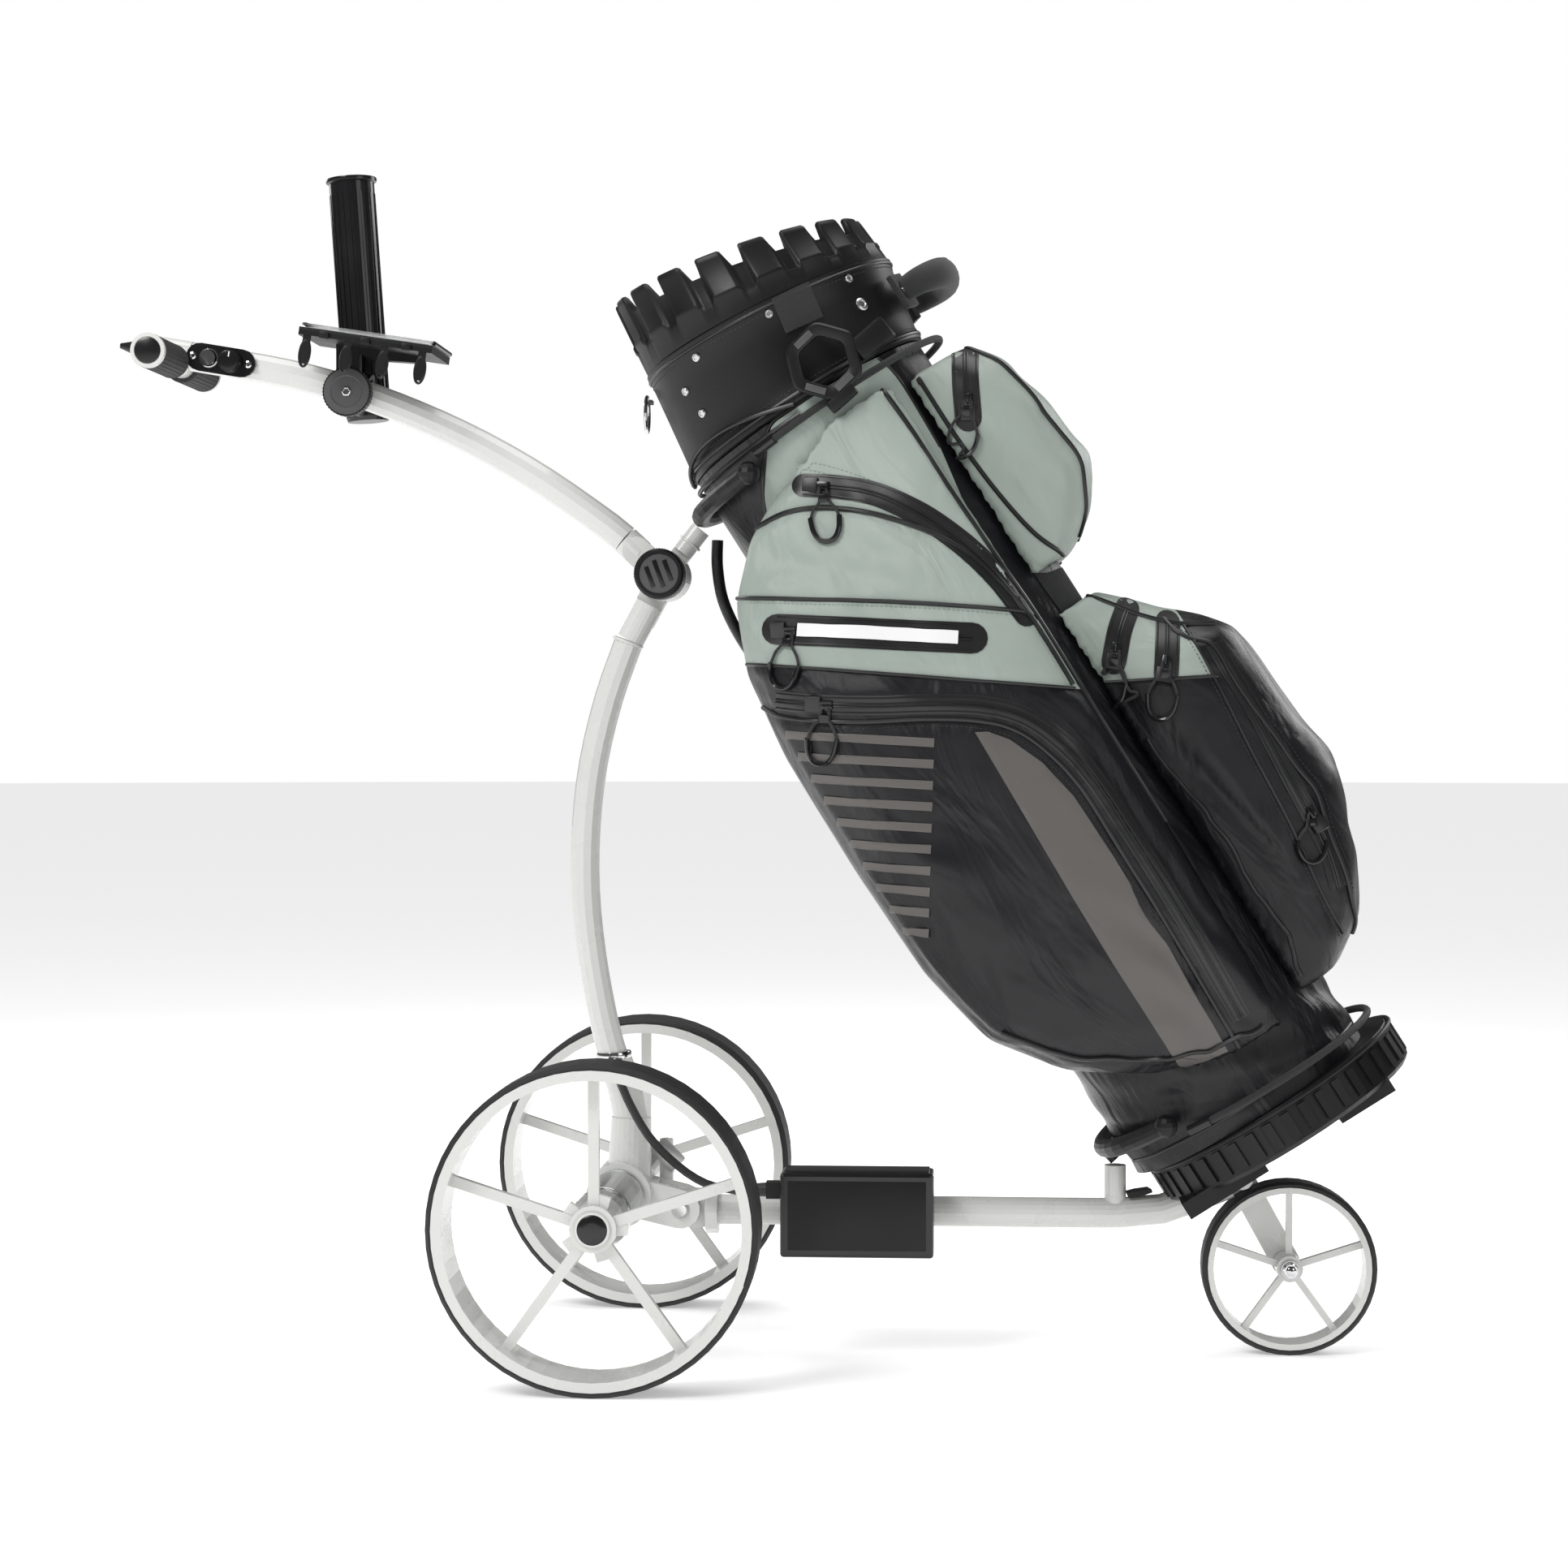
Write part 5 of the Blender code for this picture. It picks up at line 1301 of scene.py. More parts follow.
@dataclass
class FrontLowerPocket:
    """The large pocket low on the front: sage shoulders, a black front with a vertical zip."""

    body: str = "front_lower_pocket"
    shoulder_seam: tuple[Flat, ...] = mm((66, 452), (110, 427), (170, 393))
    front_seam: tuple[Flat, ...] = mm((170, 448), (166, 393), (158, 321), (152, 249), (143, 184),
        (140, 139))
    front_piping: tuple[Flat, ...] = mm((56, 462), (72, 445), (80, 410), (83, 350), (84, 280),
        (81, 210), (72, 160), (50, 132))
    top_piping: tuple[Flat, ...] = mm((84, 516), (106, 520), (124, 500), (142, 476), (166, 452),
        (194, 434))
    root: tuple[Flat, ...] = mm((80, 512), (74, 440), (74, 360), (74, 250), (76, 120))

    def build(self) -> None:
        """Builds the pocket and its trims on both sides."""
        form = StuffedForm(self.body, cap=0.008)
        base = form.start("front_lower_pocket_cloth")
        form.inflate(base, held_root(base, 0.084))
        for lay in (Lay.LEFT, Lay.RIGHT):
            form.sculpt(base, lay, [Fold((0.08, 0.4), (0.11, 0.2), 0.0035, 0.009),
                Fold((0.1, 0.38), (0.13, 0.2), -0.0038, 0.01),
                Fold((0.12, 0.36), (0.14, 0.18), 0.0029, 0.008),
                Fold((0.085, 0.3), (0.1, 0.15), 0.0029, 0.008)],
                [self.front_seam, self.shoulder_seam])
        form.sculpt(base, Lay.FRONT, [Fold((-0.06, 0.3), (0.06, 0.25), 0.0035, 0.018),
            Fold((-0.05, 0.22), (0.06, 0.19), -0.0029, 0.014)], [])
        form.cut_colours(base, (BLACK_CLOTH, SAGE_CLOTH),
            [(Vector((0.066, 0, 0.452)), Vector((0.059, 0, 0.104))),
            (Vector((0.172, 0, 0.45)), Vector((-1.0, 0, 0.12)))])
        settle(base, "bag", (self.body,))
        cloth = ClothSurface(base)
        for lay in (Lay.LEFT, Lay.RIGHT):
            stem = f"lower_pocket_{lay.name.lower()}"
            cloth.piping(stem + "_shoulder", self.shoulder_seam, lay, 0.0016)
            cloth.piping(stem + "_front_seam", self.front_seam, lay, 0.0015)
            front = [(y * lay.value, w) for y, w in self.front_piping]
            cloth.piping(stem + "_front", front, Lay.FRONT, 0.0024)
            cloth.piping(stem + "_top", self.top_piping, lay, 0.0022)
            cloth.piping(stem + "_root", self.root, lay, 0.0022)
            cloth.stitches(stem + "_stitch", [(u - 0.004, w) for u, w in self.front_seam], lay,
                THREAD_BLACK)
            cloth.stitches(stem + "_front_stitch", [(y - 0.005 * lay.value, w) for y,
                w in front[1:-1]], Lay.FRONT, THREAD_BLACK)
            cloth.zip(stem + "_zip_a", mm((136, 488), (117, 474), (98, 454)), 0.022, lay)
            cloth.zip(stem + "_zip_b", mm((160, 458), (146, 440), (131, 420)), 0.022, lay)
            cloth.zip(stem + "_zip_c", mm((182, 420), (180, 350), (174, 280), (168, 215),
                (158, 176)), 0.016, lay, rounded=False)
            cloth.slider(stem + "_slider_a", (0.106, 0.463), (0.7, 0.72), lay, swing=6 * lay.value)
            cloth.slider(stem + "_slider_b", (0.137, 0.429), (0.7, 0.72), lay, swing=6 * lay.value)
            cloth.slider(stem + "_slider_c", (0.1725, 0.246), (0.1, 1.0), lay, drop=0.044)
        cloth.finish_parts("front_lower_pocket_trims")


@dataclass
class BagBody:
    """The sewn tube of the bag, its sage yoke, and the ribs of the moulded base."""

    half: Flat = (0.1215, 0.1175)
    centre: float = -0.012
    wall: float = 0.0035
    low: float = 0.0452
    high: float = 0.7988
    yoke: tuple[Flat, ...] = mm((-104, 700), (-86, 748), (-60, 782), (-44, 797.5), (0, 798.5),
        (50, 798.5), (66, 797.5), (72, 770), (70, 700), (60, 640), (-60, 640))

    def build(self) -> None:
        """Builds the tube, its seams and the base's ribs."""
        rings = []
        levels = 120
        for i in range(levels + 1):
            w = self.low + (self.high - self.low) * i / levels

            def wave(angle: float, w: float = w) -> float:
                """Soft creases that fade towards the collar."""
                fade = exp(-((w - 0.085) / 0.06) ** 2)
                return 0.003 * fade * sin(angle * 5 + w * 90) * sin(w * 60 + angle * 2) - 0.0012

            rings.append(oval(w, self.half, self.centre, wave=wave))
        inner = [oval(self.high, (self.half[0] - self.wall, self.half[1] - self.wall), self.centre),
            oval(self.low + 0.006, (self.half[0] - self.wall, self.half[1] - self.wall),
            self.centre)]
        shell = loft("bag_body_cloth", rings + inner, BLACK_CLOTH)
        settle(shell, "bag", ("bag_body_lower", "bag_body_middle",
            "bag_body_upper"))
        cloth = ClothSurface(shell)
        for lay in (Lay.LEFT, Lay.RIGHT):
            stem = f"body_{lay.name.lower()}"
            cloth.panel(stem + "_yoke", self.yoke, lay, SAGE_CLOTH, 0.002, 0.008, 0.003)
            cloth.piping(stem + "_yoke_edge", self.yoke[:5], lay, 0.0022)
            cloth.piping(stem + "_yoke_front", self.yoke[6:9], lay, 0.0022)
            for k, shift in enumerate((0.0, 0.0055)):
                cloth.stitches(f"{stem}_yoke_stitch_{k}", [(-0.052 + shift, 0.772),
                    (-0.03 + shift, 0.785), (0.01, 0.789 - shift)], lay, THREAD_SAGE)
            cloth.piping(stem + "_hem", mm((-128, 60), (-60, 60), (10, 60), (104, 60)), lay, 0.0018)
        cloth.panel("front_gusset", mm((-70, 500), (70, 500), (74, 560), (-74, 560)), Lay.FRONT,
            BLACK_MESH, 0.0008, 0.008, 0.0016)
        cloth.finish_parts("bag_body_trims")
        self._base()

    def _base(self) -> None:
        """Upright ribs round the base's rim, and a lip round it."""
        ribs = Repeat.make("ring", "base_ribs", PLASTIC,
            BAG @ Matrix.Translation((0.0075, 0, 0.0255)), Count=44, Radius=0.1281, Deep=0.0034,
            Wide=0.0085, Tall=0.025)
        lip = swept("base_lip", [Vector(p) for p in oval(0.0425, (0.1292, 0.1272), 0.0075)], 0.0022,
            PLASTIC, 8, closed=True, place=BAG)
        settle(join("bag_base_ribs", [ribs, lip]), "bag")


@dataclass
class CollarAndCrown:
    """The leather collar, its fittings, and the seams and rivets round it."""

    half: Flat = (0.1225, 0.1205)
    bottom: float = 0.7996
    top: float = 0.893
    slope: float = -0.12
    wall: float = 0.0045
    crown_top: float = 0.9525
    crown_slope: float = 0.24
    teeth: int = 18
    tooth_depth: float = 0.0172
    tooth_steps: int = 24

    def point(self, angle: float, share: float, lift: float = 0.0) -> Vector:
        """A point on the collar: angle 0 faces forwards, share runs from its bottom to its top."""
        centre = -0.011 + 0.015 * share
        u = centre + (self.half[0] + lift) * cos(angle)
        low, high = self.bottom, self.top + self.slope * u
        return Vector((u, (self.half[1] + lift) * sin(angle), low + (high - low) * share))

    def normal(self, angle: float) -> Vector:
        """The outward direction at an angle."""
        return Vector((cos(angle), sin(angle), 0.0)).normalized()

    def build(self) -> None:
        """Builds the leather and what is fixed to it."""
        profile = [(0.0, -0.0015), (0.0, 0.0), (0.015, 0.0016), (0.05, 0.0018), (0.09, 0.0002),
            (0.3, 0.0), (0.5, 0.0), (0.66, 0.0), (0.93, 0.0002), (0.955, 0.0016), (0.99, 0.0014),
            (1.0, 0.0), (1.0, -0.003), (0.96, -self.wall), (0.04, -self.wall)]
        sides = 144
        rings = [[self.point(2 * pi * i / sides, share, lift) for i in range(sides)] for share,
            lift in profile]
        leather = loft("collar_leather", rings, LEATHER, ring=True)
        settle(leather, "bag", ("bag_collar",))
        parts = [swept("collar_rim_cord", [self.point(2 * pi * i / 120, 0.94,
            0.0008) for i in range(120)], 0.0016, PIPING, 8, closed=True, place=BAG),
            swept("collar_foot_cord", [self.point(2 * pi * i / 120, 0.075,
            0.001) for i in range(120)], 0.002, PIPING, 8, closed=True, place=BAG)]
        for side in Side:
            parts += self._side_fittings(side)
        for share in (0.13, 0.885):
            ring = [self.point(2 * pi * i / 200, share, 0.0003) for i in range(201)]
            parts.append(Repeat.make("run", f"collar_stitches_{share}", THREAD_BLACK, BAG, ring,
                Pitch=0.0045, Length=0.0033, Thickness=0.001))
        settle(join("collar_fittings", parts), "bag")
        self._crown()

    def _rivet(self, name: str, angle: float, share: float, radius: float = 0.0048) -> Object:
        """A steel rivet with a dished head."""
        profile = [(radius, 0.0), (radius, 0.0012), (radius * 0.82, 0.0022),
            (radius * 0.55, 0.0024), (radius * 0.45, 0.0016), (0.0001, 0.0016)]
        place = BAG @ surface_place(self.point(angle, share, 0.0), self.normal(angle),
            Vector((0, 0, 1)))
        return turned(name, profile, SATIN, place, 20)

    def _side_fittings(self, side: Side) -> list[Object]:
        """Rivets, and the patch above the grip."""
        sign = side.value
        stem = f"collar_{side.word}"
        parts = []
        for k, (u, w, size) in enumerate(((0.08, 0.846, 0.0062), (0.078, 0.872, 0.0042),
                (0.001, 0.88, 0.0042), (-0.074, 0.886, 0.0042), (-0.09, 0.842, 0.0042),
                (0.082, 0.822, 0.0042), (-0.096, 0.868, 0.0042))):
            angle = sign * acos(max(-1.0, min(1.0, (u + 0.003) / self.half[0])))
            low, high = self.bottom, self.top + self.slope * u
            parts.append(self._rivet(f"{stem}_rivet_{k}", angle, (w - low) / (high - low), size))
        angle = sign * acos((0.026 + 0.003) / self.half[0])
        width = 0.15
        corners = [(angle + sign * width, 0.98), (angle - sign * width, 0.99),
            (angle - sign * width, 0.6), (angle + sign * width, 0.62)]
        rows, columns = 6, 8
        points = []
        for lift in (0.0022, 0.0004):
            for i in range(rows + 1):
                for k in range(columns + 1):
                    s, t = k / columns, i / rows
                    a = corners[0][0] * (1 - s) + corners[1][0] * s
                    top = corners[0][1] * (1 - s) + corners[1][1] * s
                    low = corners[3][1] * (1 - s) + corners[2][1] * s
                    points.append(self.point(a, top * (1 - t) + low * t, lift))
        stride = columns + 1
        half = (rows + 1) * stride
        faces = []
        for i in range(rows):
            for k in range(columns):
                a = i * stride + k
                faces += [[a, a + 1, a + 1 + stride, a + stride],
                    [half + a, half + a + stride, half + a + 1 + stride, half + a + 1]]
        rim = ([k for k in range(stride)] + [i * stride + columns for i in range(1, rows + 1)] +
            [rows * stride + k for k in range(columns - 1, -1, -1)] +
            [i * stride for i in range(rows - 1, 0, -1)])
        faces += [[a, b, half + b, half + a] for a, b in zip(rim, rim[1:] + rim[:1])]
        parts.append(make_object(stem + "_patch", points, faces, BLACK_WEB, BAG))
        return parts

    def _crown(self) -> None:
        """The crown: merlons with bevelled shoulders over a stepped, hollow skirt."""
        each = self.tooth_steps
        steps = self.teeth * each
        heights = []
        for i in range(steps):
            phase = (i % each) / each
            rise = min(1.0, max(0.0, (abs(phase - 0.5) - 0.13) / 0.085))
            heights.append(self.tooth_depth * (1 - rise))

        def ring(share: float, lift: float, sink: float = 0.0) -> list[Point]:
            """Points round the crown: share runs from its foot to its top, lift is outwards."""
            found = []
            for i in range(steps):
                angle = 2 * pi * i / steps
                a = 0.1222 * (1 - share) + 0.1165 * share + lift
                b = 0.1202 * (1 - share) + 0.1165 * share + lift
                u = 0.004 + 0.0025 * share + a * cos(angle)
                low = self.top + 0.0004 + self.slope * u
                high = self.crown_top - self.crown_slope * u - heights[i] - sink
                groove = 0.0
                if 0.3 < share < 0.99:
                    groove = 0.0014 * heights[i] / self.tooth_depth
                w = low + (min(high, self.crown_top - self.crown_slope * u) - low) * min(1.0, share)
                found.append((u - groove * cos(angle), b * sin(angle) - groove * sin(angle), w))
            return found

        rings = [ring(0.0, 0.0), ring(0.04, 0.0002), ring(0.3, 0.0003), ring(0.33, 0.0014),
            ring(0.4, 0.0014), ring(0.43, 0.0), ring(0.9, 0.0), ring(0.975, -0.0003),
            ring(1.0, -0.0014, 0.0002), ring(1.0, -0.0046, 0.0002), ring(0.975, -0.0058),
            ring(0.9, -0.006), ring(0.42, -0.0075), ring(0.02, -0.011)]
        crown = loft("organiser_crown_visual", rings, PLASTIC, ring=True)
        settle(crown, "bag", ("organiser_crown",))


@dataclass
class BagTrim:
    """Side grips, carry loop, shoulder strap, bungees and drawn cords."""

    grip_centre: Flat = (0.024, 0.816)
    grip_inner: float = 0.024
    grip_outer: float = 0.0365

    def build(self) -> None:
        """Builds the trims."""
        for side in Side:
            self._grip(side)
        self._loop()
        self._strap()
        self._bungees()
        self._rain_cord()

    def _grip(self, side: Side) -> None:
        """The six-sided moulded grip with its soft grey inserts and its anchor."""
        sign = side.value
        name = f"side_handle_{side.word}"
        turn = Matrix.Translation((self.grip_centre[0], sign * 0.1338, self.grip_centre[1]))
        profile = [(self.grip_inner, -0.0034), (self.grip_inner + 0.002, -0.0048),
            (self.grip_outer - 0.002, -0.0048), (self.grip_outer, -0.003), (self.grip_outer, 0.003),
            (self.grip_outer - 0.002, 0.0048), (self.grip_inner + 0.002, 0.0048),
            (self.grip_inner, 0.0034)]
        rings = []
        for radius, y in profile:
            ring = []
            for i in range(6):
                for k in range(8):
                    a, b = (0.2 + pi / 3 * (i + s) for s in (0, 1))
                    share = k / 8
                    corner = 1 - 0.045 * exp(-(min(share, 1 - share) / 0.09) ** 2)
                    ring.append((radius * corner * (cos(a) * (1 - share) + cos(b) * share), y,
                        radius * corner * (sin(a) * (1 - share) + sin(b) * share)))
            rings.append(ring)
        parts = [loft(name + "_ring", rings, PLASTIC, ring=True, place=BAG @ turn)]
        for i in (1, 3, 4):
            a, b = 0.2 + pi / 3 * i, 0.2 + pi / 3 * (i + 1)
            radius = (self.grip_inner + self.grip_outer) / 2 * 0.99
            near, far = (Vector((radius * cos(t), 0, radius * sin(t))) for t in (a, b))
            middle = (near + far) / 2
            size = ((far - near).length * 0.62, 0.0062, 0.0016)
            place = BAG @ turn @ surface_place(middle + Vector((0, sign * 0.0049, 0)),
                Vector((0, sign, 0)), far - near)
            parts.append(block(f"{name}_insert_{i}", size, GREY_PLASTIC, place, 0.0005))
        wedge = BAG @ turn @ surface_place(Vector((0.046, -sign * 0.003, -0.006)),
            Vector((0.1, sign, 0)), Vector((1.0, 0, 0.12)))
        parts.append(block(name + "_wedge", (0.04, 0.024, 0.012), PLASTIC, wedge, 0.0028, 0.88))
        lower = BAG @ turn @ surface_place(Vector((-0.004, -sign * 0.0015, -0.036)),
            Vector((0, sign, 0)), Vector((1.0, 0, 0.15)))
        parts.append(block(name + "_keeper", (0.03, 0.012, 0.011), PLASTIC, lower, 0.0022, 0.9))
        settle(join(name + "_visual", parts), "bag", (name,))

    def _loop(self) -> None:
        """The padded carry loop on the front, with end tabs and stitching."""
        route = smooth_line(mm((121.5, -60, 840), (140, -61, 839), (158, -42, 837), (163, 0, 836),
            (158, 42, 837), (140, 61, 839), (121.5, 60, 840)), step=0.003)

        def thick(share: float) -> float:
            """The loop's half width along it."""
            return 0.0075 + 0.0045 * max(0.0, sin(pi * share)) ** 0.5

        up = Vector((0.25, 0, 1)).normalized()
        pad = swept("carry_handle_pad", route, thick, BLACK_WEB, 18, up=up, flat=1.25, place=BAG)
        settle(pad, "bag", ("carry_handle",))
        parts = []
        for sign in (-1, 1):
            place = BAG @ surface_place(Vector((0.1195, sign * 0.056, 0.84)),
                Vector((1, sign * 0.42, 0)), Vector((-sign * 0.42, 1, 0)))
            parts.append(block(f"loop_tab_{sign}", (0.026, 0.034, 0.0058), BLACK_WEB, place,
                0.0016))
            parts.append(turned(f"loop_stud_{sign}", mm((5, 3), (4.6, 4.5), (0.1, 5)), SATIN, place,
                20))
            offset = up * (0.0108 * sign)
            parts.append(Repeat.make("run", f"loop_stitch_{sign}", THREAD_BLACK, BAG,
                [p + offset + Vector((0.0066, 0, 0)) for p in route[8:-8]], Pitch=0.0042,
                Length=0.003, Thickness=0.001))
        settle(join("carry_handle_trims", parts), "bag")

    def _strap(self) -> None:
        """The shoulder strap's padded end, which hangs down the back."""
        route = smooth_line(mm((-144, -46, 742), (-158, -46, 720), (-170, -46, 690),
            (-174, -46, 650), (-170, -46, 610), (-156, -46, 580)), step=0.004)

        def wide(share: float) -> float:
            """The strap's half width along it."""
            return 0.0085 - 0.002 * max(0.0, share - 0.8) * 5

        strap = swept("shoulder_strap_pad", route, wide, BLACK_CLOTH, 16,
            up=Vector((1, 0, 0.35)).normalized(), flat=0.62, place=BAG)
        settle(strap, "bag", ("shoulder_strap",))

    def _bungees(self) -> None:
        """The stretch cords that hold the bag, with their woven cover and end cuffs."""
        for name, ball_w, front_w, half in (("upper_bungee", 0.781, 0.7905, (0.1345, 0.1246)),
                ("lower_bungee", 0.07, 0.06, (0.133, 0.1315))):
            route = []
            for i in range(121):
                angle = radians(118) * (i / 60 - 1)
                share = 0.5 + 0.5 * cos(angle)
                route.append(Vector((-0.008 + half[0] * cos(angle), half[1] * sin(angle),
                    ball_w + (front_w - ball_w) * share)))
            parts = [swept(name + "_core", route, 0.0034, BLACK_WEB, 12, place=BAG)]
            for sign, end, inner in ((-1, route[0], route[5]), (1, route[-1], route[-6])):
                middle = (end + inner) / 2
                parts.append(swept(f"{name}_cuff_{sign}", [end, middle, inner], 0.0048,
                    SMOOTH_PLASTIC, 12, place=BAG))
            parts.append(Repeat.make("run", name + "_weave", PIPING, BAG, route, Pitch=0.0036,
                Length=0.0022, Thickness=0.0072))
            settle(join(name + "_cover", parts), "bag", (name,))

    def _rain_cord(self) -> None:
        """Thin cords drawn from the grips round the back of the collar's foot."""
        parts = []
        for side in Side:
            sign = side.value
            for k, drop in enumerate((0.0, 0.01)):
                points = []
                for i in range(11):
                    angle = pi * (0.52 + 0.46 * i / 10)
                    points.append((-0.011 + (0.1262 - 0.0005 * k) * cos(angle),
                        sign * (0.1242 - 0.0005 * k) * sin(angle),
                        0.8 - drop + 0.018 * sin(pi * i / 10) * (1 - k)))
                parts.append(swept(f"rain_cord_{side.word}_{k}", smooth_line(points), 0.0021,
                    PIPING, 8, place=BAG))
        settle(join("rain_cover_cords", parts), "bag")


# ---------------------------------------------------------------- the trolley


@dataclass
class Wheels:
    """Hub details and the small parts on the three wheels."""

    track: float = 0.216
    cap: float = 0.0135
    outer: float = 0.2352

    def build(self) -> None:
        """Adds hub details to each wheel."""
        for side in Side:
            self._rear(side)
        self._front()

    def _rear(self, side: Side) -> None:
        """Cap ring, hub collar, spoke studs and the raised lines on the tyre."""
        sign = side.value
        name = f"wheel_{side.word}"
        face = axis_place((AXLE_X, sign * self.outer, AXLE_Z), (0, sign, 0))
        parts = [turned(name + "_cap_ring", [(self.cap + 0.0012, -0.0024),
            (self.cap + 0.0022, -0.001), (self.cap + 0.0012, 0.0002), (self.cap - 0.0002, 0.0002),
            (self.cap - 0.0002, -0.0024)], WHITE_PAINT, face, 40, True),
            turned(name + "_cap_dish", [(self.cap - 0.0006, 0.0), (self.cap - 0.0014, 0.0006),
            (0.006, 0.0012), (0.0001, 0.0013)], SMOOTH_PLASTIC, face, 40)]
        parts.append(Repeat.make("ring", name + "_hub_lugs", WHITE_PAINT,
            axis_place((AXLE_X, sign * 0.22, AXLE_Z), (0, sign, 0)), Count=5, Radius=0.0235,
            Deep=0.012, Wide=0.0125, Tall=0.0085))
        inner = axis_place((AXLE_X, sign * 0.17, AXLE_Z), (0, -sign, 0))
        parts.append(turned(name + "_clutch_face", mm((20, -1), (20, 0.2), (12, 0.2), (12, -1)),
            SATIN, inner, 32, True))
        settle(join(name + "_details", parts), name)
        lines = []
        for y in (0.0185, -0.0185, 0.0):
            lines.append(turned(f"{name}_tread_{y}", mm((143.8, -0.9), (144.05, -0.4),
                (144.05, 0.4), (143.8, 0.9)), TYRE, axis_place(
                (AXLE_X, sign * self.track + y, AXLE_Z), (0, 1, 0)), 96, True))
        settle(join(name + "_tread", lines), name)

    def _front(self) -> None:
        """Acorn nuts and washers on the front axle."""
        parts = []
        for sign in (-1, 1):
            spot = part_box("front_axle")[0 if sign < 0 else 1][1]
            place = axis_place((FRONT_X, spot, FRONT_Z), (0, sign, 0))
            parts.append(turned(f"front_nut_{sign}", mm((6.2, -6.5), (6.2, -1.2), (5, 0.6),
                (3, 1.8), (0.1, 2.2)), CHROME, place, 6))
            parts.append(turned(f"front_washer_{sign}", mm((8.5, -8), (8.5, -6.6), (4, -6.6),
                (4, -8)), SATIN, place, 28, True))
        settle(join("front_axle_nuts", parts), "chassis")


